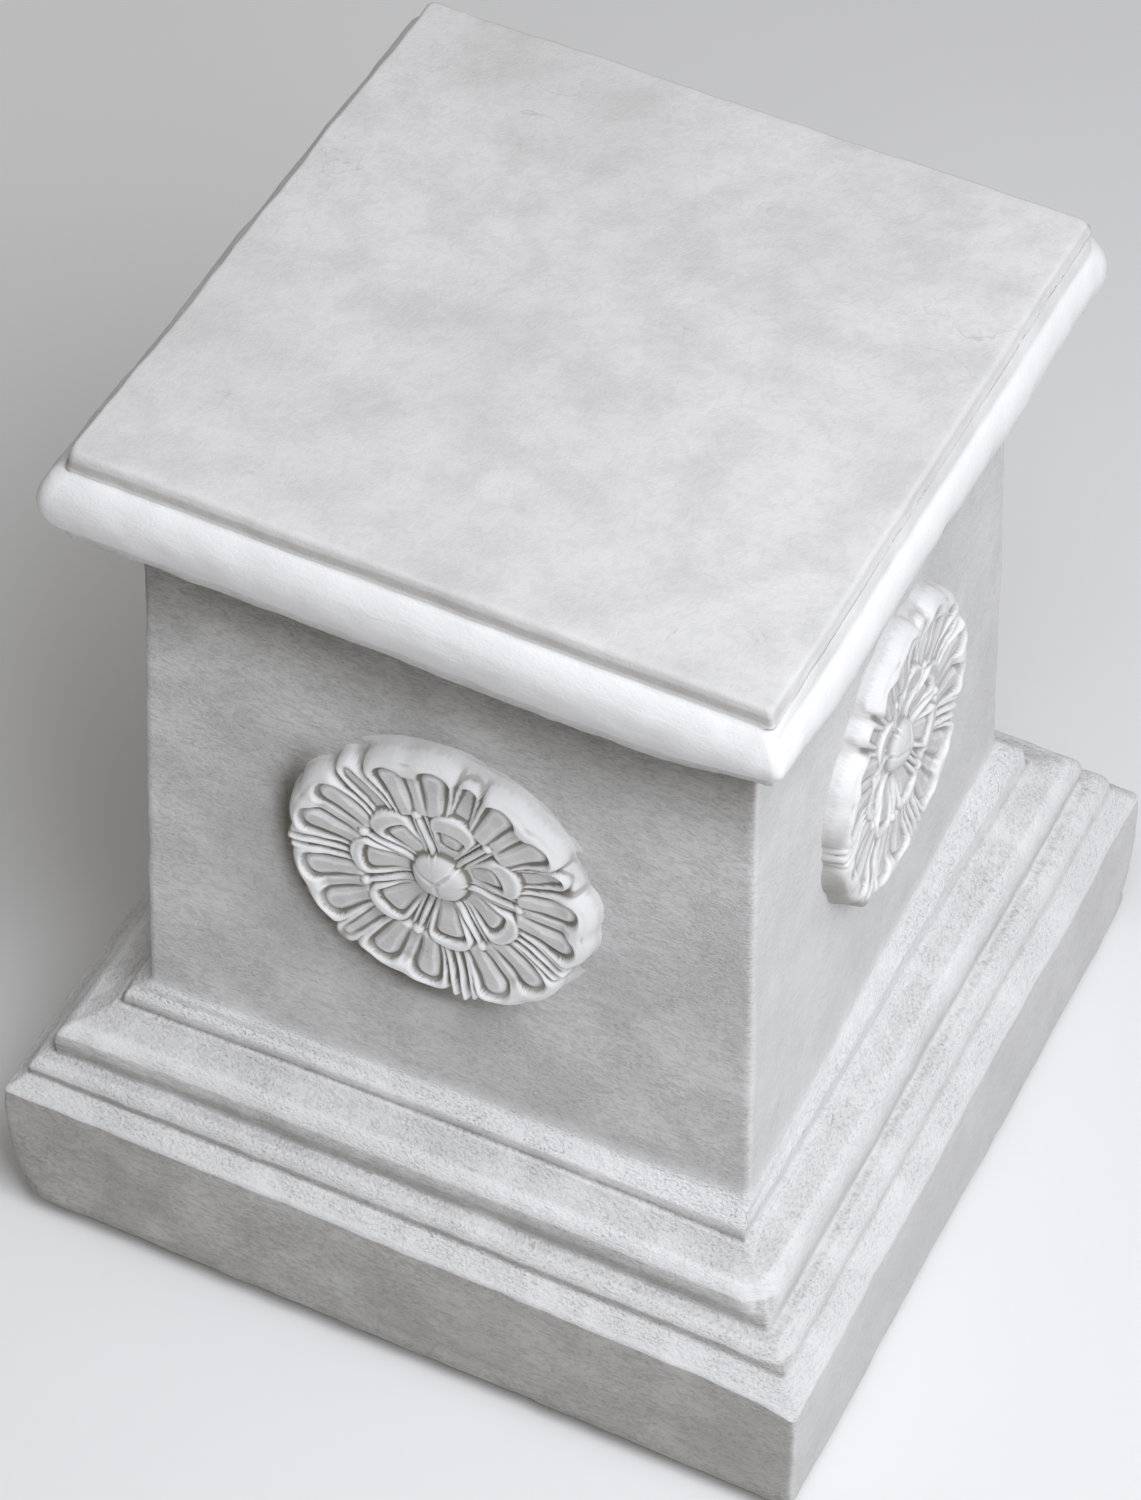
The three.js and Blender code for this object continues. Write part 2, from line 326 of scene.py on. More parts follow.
@dataclass(frozen=True)
class CastStone:
    """Resin-bound crushed stone, cast in a mould and brushed.

    It gives the eye a matt neutral grey, blotched and clouded, with a brown-grey wash left in the hollows
    and edges rubbed paler. The same brown-grey also paints shade, in hollows, under the cap, on the sides
    away from the key light and as the rosettes' shadows, and the same paler colour paints light on the
    side that faces it and on raised carving. Its skin is stippled with grit, streaked by the brush, and
    crossed by the low wrinkles of the mould. The real grit is about 0.3 mm wide and would not show in the
    picture, so the grit and the stipple are drawn at about 1 mm.
    """

    pale: str = "#dbdad9"
    mid: str = "#b4b3b1"
    # The brown-grey of the wash, which also paints shade in hollows, under the cap, on the sides away from
    # the key light and as the rosettes' shadows
    wash_and_shade: str = "#5f5544"
    # The paler colour of rubbed edges, which also paints light on the side facing the key light and on
    # raised carving
    rubbed_and_lit: str = "#f4f4f5"
    roughness: float = 0.9
    ior: float = 1.5
    specular: float = 0.3
    octave_strength: float = 0.55
    flatness: float = 2.6
    patterns: tuple = (
        Pattern("blotch", 80.0, 5),
        Pattern("cloud", 20.0, 4),
        Pattern("patch", 20.0, 3),
        Pattern("crack", 26.0, 3, 0.8),
        Pattern("crack_place", 36.4, 2),
        Pattern("wrinkle", 8.0, 4, 1.8, True),
        Pattern("stroke", 4.0, 3, 1.2, True),
        Pattern("stipple", 1.1, 3, 0.3, True),
        Pattern("grit", 0.8, 1),
    )
    stored: tuple = ("wash_and_shade", "wear_and_light", "coarse")
    spreads: tuple = (
        Spread("patchy", "patch", 0.1, 0.62),
        Spread("brushwork", "coarse", -0.3, 0.9),
        Spread("cracked", "crack_place", 0.6, 0.68),
        Spread("lump", "stipple", 0.2, 0.8),
        Spread("rubbed_and_lit", "stipple", 0.2, 0.5),
    )
    layers: tuple = (
        Layer("blotch", 0.36, 0.66, 0.35, None, mid),
        Layer("cloud", 0.42, 0.7, 0.28, None, mid),
        Layer("stroke", 0.55, 0.4, 0.6, "brushwork", mid),
        # Pits of the stipple take the brown-grey: wash in them, with painted shade in them too
        Layer("stipple", 0.5, 0.36, 0.26, "coarse", wash_and_shade),
        Layer("crack", 0.007, 0.001, 0.2, "cracked", wash_and_shade),
        # The stored wash number lays the brown-grey, as real wash and as painted shade
        Layer("cloud", -0.2, 0.4, 0.9, "wash_and_shade", wash_and_shade),
        # The stored wear number lays the paler colour, as rubbed wear and as painted light
        Layer("wear_and_light", 0.0, 1.0, 0.88, "rubbed_and_lit", rubbed_and_lit, "LINEAR"),
    )
    reliefs: tuple = (
        Relief("wrinkle", 0.7, 0.7, "brushwork"),
        Relief("stroke", 0.6, 0.35, "brushwork"),
        Relief("lump", 0.8, 0.5, "coarse"),
        Relief("grit", 0.6, 0.12),
    )

    def material(self) -> bpy.types.Material:
        """Builds the material from its patterns, its layers of colour and its reliefs.

        Returns:
            The material.
        """
        made = bpy.data.materials.new("cast_stone")
        made.use_nodes = True
        tree = made.node_tree
        shader = tree.nodes["Principled BSDF"]
        shader.inputs["Roughness"].default_value = self.roughness
        shader.inputs["IOR"].default_value = self.ior
        shader.inputs["Specular IOR Level"].default_value = self.specular
        read = self.read(tree)
        tree.links.new(self.colour(tree, read), shader.inputs["Base Color"])
        tree.links.new(self.normal(tree, read), shader.inputs["Normal"])
        return made

    def read(self, tree: bpy.types.NodeTree) -> dict[str, bpy.types.NodeSocket]:
        """Reads the patterns at the piece's own coordinates, the numbers stored on it, and the spreads.

        A crack is where its slow pattern is near its middle value, so its number is the distance from it.
        The stipple keeps the brush out of its pits, but only where the skin is coarse.

        Args:
            tree: the material's nodes.

        Returns:
            A socket for each name.
        """
        place = add_node(tree, "ShaderNodeTexCoord", {}, "Object")
        inputs = {"Vector": place, "Scale": (1.0, 1.0, self.flatness)}
        flattened = add_node(tree, "ShaderNodeMapping", inputs)
        read = {}
        for pattern in self.patterns:
            inputs = {
                "Vector": flattened if pattern.pressed else place,
                "Scale": 1 / (pattern.size_mm * MM),
                "Detail": pattern.octaves,
                "Roughness": self.octave_strength,
                "Distortion": pattern.fold,
            }
            read[pattern.name] = add_node(tree, "ShaderNodeTexNoise", inputs)
        for name in self.stored:
            read[name] = add_node(tree, "ShaderNodeAttribute", {}, "Fac", attribute_name=name)
        for spread in self.spreads:
            inputs = {"Value": read[spread.source], "From Min": spread.low, "From Max": spread.high}
            share = add_node(tree, "ShaderNodeMapRange", inputs, interpolation_type="SMOOTHSTEP")
            read[spread.name] = share
        sums = (
            ("coarse", "MULTIPLY", ("patchy", "coarse")),
            ("crack", "SUBTRACT", ("crack", 0.5)),
            ("crack", "ABSOLUTE", ("crack",)),
            ("rubbed_and_lit", "SUBTRACT", ("rubbed_and_lit", 1.0)),
            ("rubbed_and_lit", "MULTIPLY_ADD", ("rubbed_and_lit", "coarse", 1.0)),
        )
        for name, operation, terms in sums:
            inputs = {at: read.get(term, term) for at, term in enumerate(terms)}
            read[name] = add_node(tree, "ShaderNodeMath", inputs, operation=operation)
        return read

    def colour(
        self, tree: bpy.types.NodeTree, read: dict[str, bpy.types.NodeSocket]
    ) -> bpy.types.NodeSocket:
        """Lays the layers of colour over the pale stone, one by one.

        Args:
            tree: the material's nodes.
            read: the patterns, stored numbers and spreads.

        Returns:
            The colour.
        """
        colour = linear(self.pale)
        for layer in self.layers:
            inputs = {
                "Value": read[layer.source],
                "From Min": layer.absent_at,
                "From Max": layer.full_at,
                "To Max": layer.share,
            }
            share = add_node(tree, "ShaderNodeMapRange", inputs, interpolation_type=layer.curve)
            if layer.limit:
                limited = {0: share, 1: read[layer.limit]}
                share = add_node(tree, "ShaderNodeMath", limited, operation="MULTIPLY")
            inputs = {MIX_SHARE: share, MIX_UNDER: colour, MIX_OVER: linear(layer.colour)}
            colour = add_node(tree, "ShaderNodeMix", inputs, MIX_RESULT, data_type="RGBA")
        return colour

    def normal(
        self, tree: bpy.types.NodeTree, read: dict[str, bpy.types.NodeSocket]
    ) -> bpy.types.NodeSocket:
        """Lays the fine reliefs over each other, the coarsest first.

        Args:
            tree: the material's nodes.
            read: the patterns, stored numbers and spreads.

        Returns:
            The surface normal.
        """
        below = {}
        for relief in self.reliefs:
            height = read[relief.source]
            if relief.limit:
                limited = {0: height, 1: read[relief.limit]}
                height = add_node(tree, "ShaderNodeMath", limited, operation="MULTIPLY")
            inputs = {"Height": height, "Strength": relief.strength, "Distance": relief.depth_mm * MM}
            below = {"Normal": add_node(tree, "ShaderNodeBump", {**inputs, **below})}
        return below["Normal"]


@dataclass(frozen=True)
class Seat:
    """How one member of the casting sits on the block: its turn about +Z and its shift."""

    turn: float = 0.0
    x: float = 0.0
    y: float = 0.0


BLOCK_SEAT = Seat()
LEDGE_SEAT = Seat(turn=0.6, x=-0.9, y=-0.3)
SHAFT_SEAT = Seat(turn=1.7, x=-1.5, y=-0.7)
CAP_SEAT = Seat(turn=-0.5, x=-0.4, y=-0.2)
BULLNOSE_SEAT = Seat(turn=-0.5, x=-1.5, y=-0.2)


class Column(IntEnum):
    """What the columns of the body's profile hold."""

    HALF = 0
    HEIGHT = 1
    FIRST_CORNER = 2
    TURN = 6
    X = 7
    Y = 8
    WASH_AND_SHADE = 9
    WEAR_AND_LIGHT = 10
    COARSE = 11


@dataclass
class Band:
    """A run of the body's profile, from low to high, with the same seat.

    The radii are those of the plan's corners, in the order +X+Y, -X+Y, -X-Y, +X-Y. Wash is how much dark
    wash and painted shade the surface holds, wear how much it is rubbed paler and painted lighter, and
    coarse how strong its stipple and strokes are.
    """

    half: np.ndarray
    height: np.ndarray
    corners: tuple[float, float, float, float]
    seat: Seat
    wash_and_shade: float = 0.0
    wear_and_light: float = 0.0
    coarse: float = 0.6

    def table(self) -> np.ndarray:
        """Lays the band out as a table.

        Returns:
            One row for each point, with the columns that Column names.
        """
        seat = [self.seat.turn, self.seat.x, self.seat.y]
        fixed = np.tile([*self.corners, *seat, self.wash_and_shade, self.wear_and_light, self.coarse], (len(self.half), 1))
        return np.column_stack([self.half, self.height, fixed])


def arc(centre: tuple[float, float], radius: float, start: float, end: float, steps: int) -> tuple:
    """Half widths and heights along an arc of the profile, by angles from outward."""
    angles = np.radians(np.linspace(start, end, steps + 1))
    return centre[0] + radius * np.cos(angles), centre[1] + radius * np.sin(angles)


def line(start: tuple[float, float], end: tuple[float, float], steps: int) -> tuple:
    """Half widths and heights along a straight run of the profile, without its ends."""
    share = np.linspace(0, 1, steps + 2)[1:-1]
    return start[0] + (end[0] - start[0]) * share, start[1] + (end[1] - start[1]) * share


def curve(
    start: tuple[float, float], pull: tuple[float, float], end: tuple[float, float], steps: int
) -> tuple:
    """Half widths and heights along a quadratic curve, without its ends.

    Args:
        start: where it starts.
        pull: the point that it leaves its start for and reaches its end from.
        end: where it ends.
        steps: points on it.

    Returns:
        The half widths and the heights.
    """
    share = np.linspace(0, 1, steps + 2)[1:-1]
    weights = ((1 - share) ** 2, 2 * share * (1 - share), share**2)
    return tuple(sum(w * point[axis] for w, point in zip(weights, (start, pull, end))) for axis in (0, 1))


@dataclass
class Block:
    """The block at the foot: round where it meets the ground, full sides, a soft upper arris."""

    half: float = 127.0
    top: float = 54.8
    foot_radius: float = 12.0
    fullness: float = 0.9
    fullest: float = 32.0
    arris_radius: float = 1.6
    foot_corners: tuple = (8.0, 9.0, 11.5, 3.5)
    corners: tuple = (3.0, 3.5, 1.6, 2.6)
    side_steps: int = 16
    # Darker round the foot, where the block meets the ground
    foot_darkening: float = 0.36
    # Painted shade on the block's sides
    side_painted_shade: float = 0.26
    side_wear: float = 0.06
    arris_wear: float = 0.7
    coarse: float = 0.9

    def bands(self) -> list[Band]:
        """Works out the underside, the foot, the side and the arris.

        The side bows in below and above its fullest height, and its corners go over from the foot's radii
        to the arris's with the square root of the height.

        Returns:
            Their bands, from the middle of the underside up.
        """
        inner = self.half - self.foot_radius
        under = Band(np.linspace(6, inner - 6, 5), np.zeros(5), (3.0,) * 4, BLOCK_SEAT)
        foot = arc((inner, self.foot_radius), self.foot_radius, -90, -12, 10)
        arris_z = self.top - self.arris_radius
        height = np.linspace(self.foot_radius, arris_z, self.side_steps)
        bow = ((height - self.fullest) / (arris_z - self.fullest)) ** 2
        side = []
        for at, (z, drop) in enumerate(zip(height, bow)):
            share = math.sqrt(at / (self.side_steps - 1))
            radii = tuple(a + (b - a) * share for a, b in zip(self.foot_corners, self.corners))
            half = np.array([self.half - self.fullness * drop])
            dressing = (self.side_painted_shade, self.side_wear, self.coarse)
            side.append(Band(half, np.array([z]), radii, BLOCK_SEAT, *dressing))
        centre = (self.half - self.fullness - self.arris_radius, arris_z)
        arris = arc(centre, self.arris_radius, 15, 80, 5)
        return [
            under,
            Band(*foot, self.foot_corners, BLOCK_SEAT, self.foot_darkening, 0.0, self.coarse),
            *side,
            Band(*arris, self.corners, BLOCK_SEAT, 0.0, self.arris_wear),
        ]


@dataclass
class BaseMoulding:
    """The mouldings between block and shaft: sloped margin, bead, ovolo, hollow, lip, groove and ledge."""

    bead_foot: tuple = (119.3, 57.6)
    bead_height: float = 6.0
    bead_squareness: float = 0.8
    ovolo_foot: tuple = (112.0, 64.4)
    ovolo_radius: float = 8.0
    ovolo_crest: float = 76.2
    ovolo_sweep: float = 60.0
    hollow: tuple = (102.0, 79.0)
    lip: tuple = (99.3, 81.2)
    groove: tuple = (97.9, 80.6)
    ledge_edge: float = 84.8
    ledge_radius: float = 1.5
    ledge_head: tuple = (95.6, 87.6)
    corners: tuple = (3.0, 2.0, 1.0, 1.6)
    coarse: float = 1.0
    ledge_coarse: float = 1.2

    def bands(self, margin_from: tuple[float, float]) -> list[Band]:
        """The bands of the moulding.

        Args:
            margin_from: half width and height where the block's arris ends.

        Returns:
            The bands, from low to high.
        """
        foot_r, foot_z = self.bead_foot
        ovolo_r = self.ovolo_foot[0]
        angles = np.radians(np.linspace(0, 90, 12))
        bead_r = ovolo_r + (foot_r - ovolo_r) * np.cos(angles) ** self.bead_squareness
        bead_z = foot_z + self.bead_height * np.sin(angles)
        roll_z = self.ovolo_crest - self.ovolo_radius * math.sin(math.radians(self.ovolo_sweep))
        roll = arc((ovolo_r - self.ovolo_radius, roll_z), self.ovolo_radius, 0, self.ovolo_sweep, 9)
        crest = (roll[0][-1], roll[1][-1])
        edge = arc((self.groove[0] - self.ledge_radius, self.ledge_edge), self.ledge_radius, 0, 45, 4)
        # Each run of the moulding with its wash and its wear: the wash at the feet of the bead and the
        # ovolo, in the hollow and in the groove is painted shade over some real wash, and the wear on the
        # ledge is partly painted light
        runs = (
            (line(margin_from, self.bead_foot, 5), 0.0, 0.8),
            ((bead_r[:3], bead_z[:3]), 0.25, 0.1),
            ((bead_r[3:9], bead_z[3:9]), 0.0, 0.8),
            ((bead_r[9:], bead_z[9:]), 0.0, 0.4),
            (line(self.ovolo_foot, (ovolo_r, roll_z), 3), 0.25, 0.1),
            ((roll[0][:4], roll[1][:4]), 0.1, 0.3),
            ((roll[0][4:], roll[1][4:]), 0.0, 1.0),
            (line(crest, self.hollow, 3), 0.0, 0.55),
            (line(self.hollow, self.lip, 3), 0.05, 0.6),
            ((np.array([self.lip[0]]), np.array([self.lip[1]])), 0.0, 0.8),
            (line(self.groove, (self.groove[0], self.groove[1] + 0.6), 1), 0.3, 0.0),
        )
        made = [Band(*run, self.corners, BLOCK_SEAT, wash_and_shade, wear_and_light, self.coarse) for run, wash_and_shade, wear_and_light in runs]
        made.append(Band(*edge, self.corners, LEDGE_SEAT, 0.0, 0.9, self.coarse))
        slope = line((edge[0][-1], edge[1][-1]), self.ledge_head, 4)
        made.append(Band(*slope, self.corners, LEDGE_SEAT, 0.0, 1.0, self.ledge_coarse))
        return made


@dataclass
class Shaft:
    """The square shaft: a small cove at its foot, a straight taper, a slight flare under the cap."""

    foot: tuple = (93.1, 92.4)
    head: tuple = (87.8, 255.0)
    cove_radius: float = 4.5
    flare: float = 1.7
    soffit: float = 272.2
    corners: tuple = (2.5, 2.5, 2.5, 2.5)
    side_steps: int = 42
    cove_wear: float = 0.9
    cove_coarse: float = 1.0
    wear_and_light: float = 0.3
    coarse: float = 0.9

    def bands(self) -> list[Band]:
        """Works out the cove, the taper and the flare.

        Returns:
            Their bands, from low to high.
        """
        cove = arc((self.foot[0] + self.cove_radius, self.foot[1]), self.cove_radius, 225, 183, 5)
        taper = line(self.foot, self.head, self.side_steps)
        share = np.linspace(0, 1, 10)
        flare = (self.head[0] + self.flare * share**2, self.head[1] + (self.soffit - self.head[1]) * share)
        return [
            Band(*cove, self.corners, SHAFT_SEAT, 0.0, self.cove_wear, self.cove_coarse),
            Band(*taper, self.corners, SHAFT_SEAT, 0.0, self.wear_and_light, self.coarse),
            Band(*flare, self.corners, SHAFT_SEAT, 0.0, self.wear_and_light, self.coarse),
        ]

    def half_at(self, z: float) -> float:
        """Half width of the tapered part at a height."""
        share = (z - self.foot[1]) / (self.head[1] - self.foot[1])
        return self.foot[0] + (self.head[0] - self.foot[0]) * share

    def lean(self) -> float:
        """Angle of the faces from upright, in radians."""
        return math.atan((self.foot[0] - self.head[0]) / (self.head[1] - self.foot[1]))


@dataclass
class Cap:
    """The cap: flat soffit, low fillet, bullnose, and a raised flat top.

    Nose high is the angle, from level, where the bullnose ends and the short rise to the top starts, and
    rise pull is the point that this rise curves round.
    """

    soffit: float = 272.2
    top: float = 302.4
    fillet_half: float = 101.8
    fillet_radius: float = 0.8
    bullnose_half: float = 106.5
    bullnose_radius: float = 12.5
    bullnose_z: float = 285.5
    nose_high: float = 58.0
    rise_pull: tuple = (100.2, 297.6)
    top_half: float = 99.6
    arris_radius: float = 1.9
    fillet_corners: tuple = (6.0, 4.0, 3.0, 2.0)
    bullnose_corners: tuple = (9.5, 6.0, 4.5, 3.0)
    top_corners: tuple = (3.0, 2.0, 2.0, 2.0)
    coarse: float = 0.1
    top_coarse: float = 0.12

    def bands(self, shaft_half: float) -> list[Band]:
        """The bands of the cap.

        Args:
            shaft_half: half width of the shaft where it meets the soffit.

        Returns:
            The bands, from the soffit to the middle of the top.
        """
        edge = self.fillet_half - self.fillet_radius
        soffit = line((shaft_half + 0.4, self.soffit), (edge, self.soffit), 4)
        fillet = arc((edge, self.soffit + self.fillet_radius), self.fillet_radius, -90, 0, 4)
        centre = self.bullnose_half - self.bullnose_radius
        low = -math.degrees(math.acos((self.fillet_half - centre) / self.bullnose_radius))
        nose = arc((centre, self.bullnose_z), self.bullnose_radius, low, self.nose_high, 28)
        arris_z = self.top - self.arris_radius
        arris = arc((self.top_half - self.arris_radius, arris_z), self.arris_radius, 15, 90, 5)
        rise = curve((nose[0][-1], nose[1][-1]), self.rise_pull, (arris[0][0], arris[1][0]), 6)
        inner = self.top_half - self.arris_radius
        flat = (np.linspace(inner - 1.5, 3.0, 26), np.full(26, self.top))
        coarse = self.coarse
        # The points of each run of the bullnose with its wear, and of the rise with its wash and wear; the
        # wash in the valley at the foot of the rise is painted shade over some real wash
        nose_runs = ((0, 13, 0.8), (13, 20, 0.7), (20, None, 0.85))
        rise_runs = ((0, 2, 0.15, 0.3), (2, 5, 0.3, 0.0), (5, None, 0.0, 0.1))
        made = [
            # Painted shade on the soffit, under the cap
            Band(*soffit, self.fillet_corners, CAP_SEAT, 0.6),
            Band(*fillet, self.fillet_corners, CAP_SEAT, 0.1, 0.3),
        ]
        for start, end, wear_and_light in nose_runs:
            run = (nose[0][start:end], nose[1][start:end])
            made.append(Band(*run, self.bullnose_corners, BULLNOSE_SEAT, 0.0, wear_and_light, coarse))
        for start, end, wash_and_shade, wear_and_light in rise_runs:
            run = (rise[0][start:end], rise[1][start:end])
            made.append(Band(*run, self.top_corners, CAP_SEAT, wash_and_shade, wear_and_light, coarse))
        made.append(Band(*arris, self.top_corners, CAP_SEAT, 0.0, 0.15, coarse))
        made.append(Band(*flat, self.top_corners, CAP_SEAT, 0.0, 0.12, self.top_coarse))
        return made


@dataclass(frozen=True)
class Warp:
    """How the hand-made mould strays from a true square, as measured at its corners.

    The shifts are those of the corners +X+Y, -X+Y, -X-Y and +X-Y along X, Y and Z, at the heights of the
    block's top, the bead's foot, the ovolo's foot, the groove, the ledge and the shaft's foot. A field
    that ends in by gives amounts, at the true heights in the field of the same name that ends in at.

    The block's top drops toward the corner nearest to the camera, +X-Y, and dips at it. The mouldings are
    eased back at that corner, and the cap's soffit rises to it. On the right side the rise behind the
    bullnose is filled to a slope. The mouldings bow up between the corners, mostly on the front.
    """

    heights: tuple = (54.4, 57.6, 64.4, 80.6, 84.5, 91.0)
    shifts: tuple = (
        ((0.0, 0.0, 0.0), (0.0, 0.0, 0.0), (-0.4, 0.0, 0.0), (0.0, 0.0, 0.0)),
        ((0.0, 0.6, 3.0), (0.0, 0.5, 1.0), (-1.8, -0.2, 0.4), (-0.4, 0.4, 0.2)),
        ((-1.2, 1.8, 3.0), (-1.0, 1.0, 1.0), (-3.2, -1.8, 0.3), (-1.2, 0.4, -1.4)),
        ((0.4, 1.6, 0.4), (-1.0, 1.0, 0.0), (-2.0, -2.5, -0.3), (-1.2, -0.2, 0.0)),
        ((1.2, 2.0, 0.3), (-0.2, 1.0, 0.0), (-0.6, -1.6, 0.0), (-1.0, -1.0, 0.0)),
        ((0.0, 0.0, 0.0), (0.0, 0.0, 0.0), (0.0, 0.0, 0.0), (0.0, 0.0, 0.0)),
    )
    block_drop: float = 2.6
    drop_fade: float = 2.5
    corner_dip: float = 4.0
    corner_reach: float = 7.0
    dipped_at: tuple = (14, 54.4, 57.6, 63)
    dipped_by: tuple = (0, 1, 0.12, 0)
    eased_at: tuple = (57.6, 60.5, 63.4, 65.0, 70.0, 74.0, 77.0, 80.0)
    eased_by: tuple = (0.0, 2.8, 1.0, 0.4, 4.2, 4.2, 2.0, 0.0)
    eased_reach: float = 5.0
    soffit_rise: float = 5.5
    soffit_reach: float = 36.0
    raised_at: tuple = (264, 272, 276, 290)
    raised_by: tuple = (0, 1, 0.9, 0)
    slope_fill: float = 2.6
    filled_at: tuple = (293.9, 296.1, 297.6, 300)
    filled_by: tuple = (0, 1, 0.7, 0)
    bowed_at: tuple = (46.0, 54.4, 57.6, 64.4, 80.6, 85.0, 91.0)
    bowed_by: tuple = (0.0, 2.2, 1.5, 2.2, 2.2, 1.5, 0.0)

    def moved(self, rings: np.ndarray, half: np.ndarray) -> np.ndarray:
        """Moves the rings of the body.

        Args:
            rings: points, rings by columns by 3, at their true places.
            half: half width of each ring.

        Returns:
            The moved points.
        """
        true_z = rings[:, :1, 2]
        reach = np.maximum(half, 1.0)[:, None]
        east = np.clip((1 + rings[..., 0] / reach) / 2, 0, 1)
        north = np.clip((1 + rings[..., 1] / reach) / 2, 0, 1)
        weights = (east * north, (1 - east) * north, (1 - east) * (1 - north), east * (1 - north))
        moved = rings.copy()
        table = np.array(self.shifts)
        for corner, weight in enumerate(weights):
            for axis in range(3):
                amount = np.interp(true_z[:, 0], self.heights, table[:, corner, axis])
                moved[..., axis] += weight * amount[:, None]
        away = np.maximum(1 - east, north) * 2 * reach
        dip = self.block_drop * east * (1 - north) ** self.drop_fade
        dip = dip + self.corner_dip * np.exp(-away / self.corner_reach)
        moved[..., 2] -= dip * np.interp(true_z, self.dipped_at, self.dipped_by)
        eased = np.interp(true_z, self.eased_at, self.eased_by) * bump(away, self.eased_reach)
        moved[..., 0] -= eased / math.sqrt(2)
        moved[..., 1] += eased / math.sqrt(2)
        lift = self.soffit_rise * smoothstep(self.soffit_reach, 0.0, away)
        moved[..., 2] += lift * np.interp(true_z, self.raised_at, self.raised_by)
        filled = self.slope_fill * smoothstep(0.9, 0.97, east) * smoothstep(0.0, 0.1, north)
        moved[..., 2] += filled * np.interp(true_z, self.filled_at, self.filled_by)
        front = 4 * east * (1 - east) * smoothstep(0.2, 0.0, north)
        others = 4 * north * (1 - north) + 4 * east * (1 - east) * smoothstep(0.8, 1.0, north)
        moved[..., 2] += (front + 0.5 * others) * np.interp(true_z, self.bowed_at, self.bowed_by)
        return moved


@dataclass(frozen=True)
class Sides:
    """How the wash, the wear and the coarseness of the right and left sides differ from the front's: the
    right side, which faces the key light, is painted paler with less shade, and the left side, which faces
    away from it, is painted darker and less pale.
    """

    right_facing: tuple = (0.45, 0.9)
    # The right side faces the key light: it loses painted shade and is painted paler
    right_lit_shade_loss: float = 0.85
    right_lit_paling: float = 0.4
    right_moulded_lit_paling: float = 0.25
    right_moulded_paling_loss: float = 0.15
    right_slope_paling_loss: float = 0.7
    right_coarse_loss: float = 0.5
    left_facing: tuple = (0.3, 0.85)
    # The left side faces away from the key light: it is painted darker and less pale
    left_shade_gain: float = 0.4
    left_shade: float = 0.1
    left_shaded_paling_loss: float = 0.4


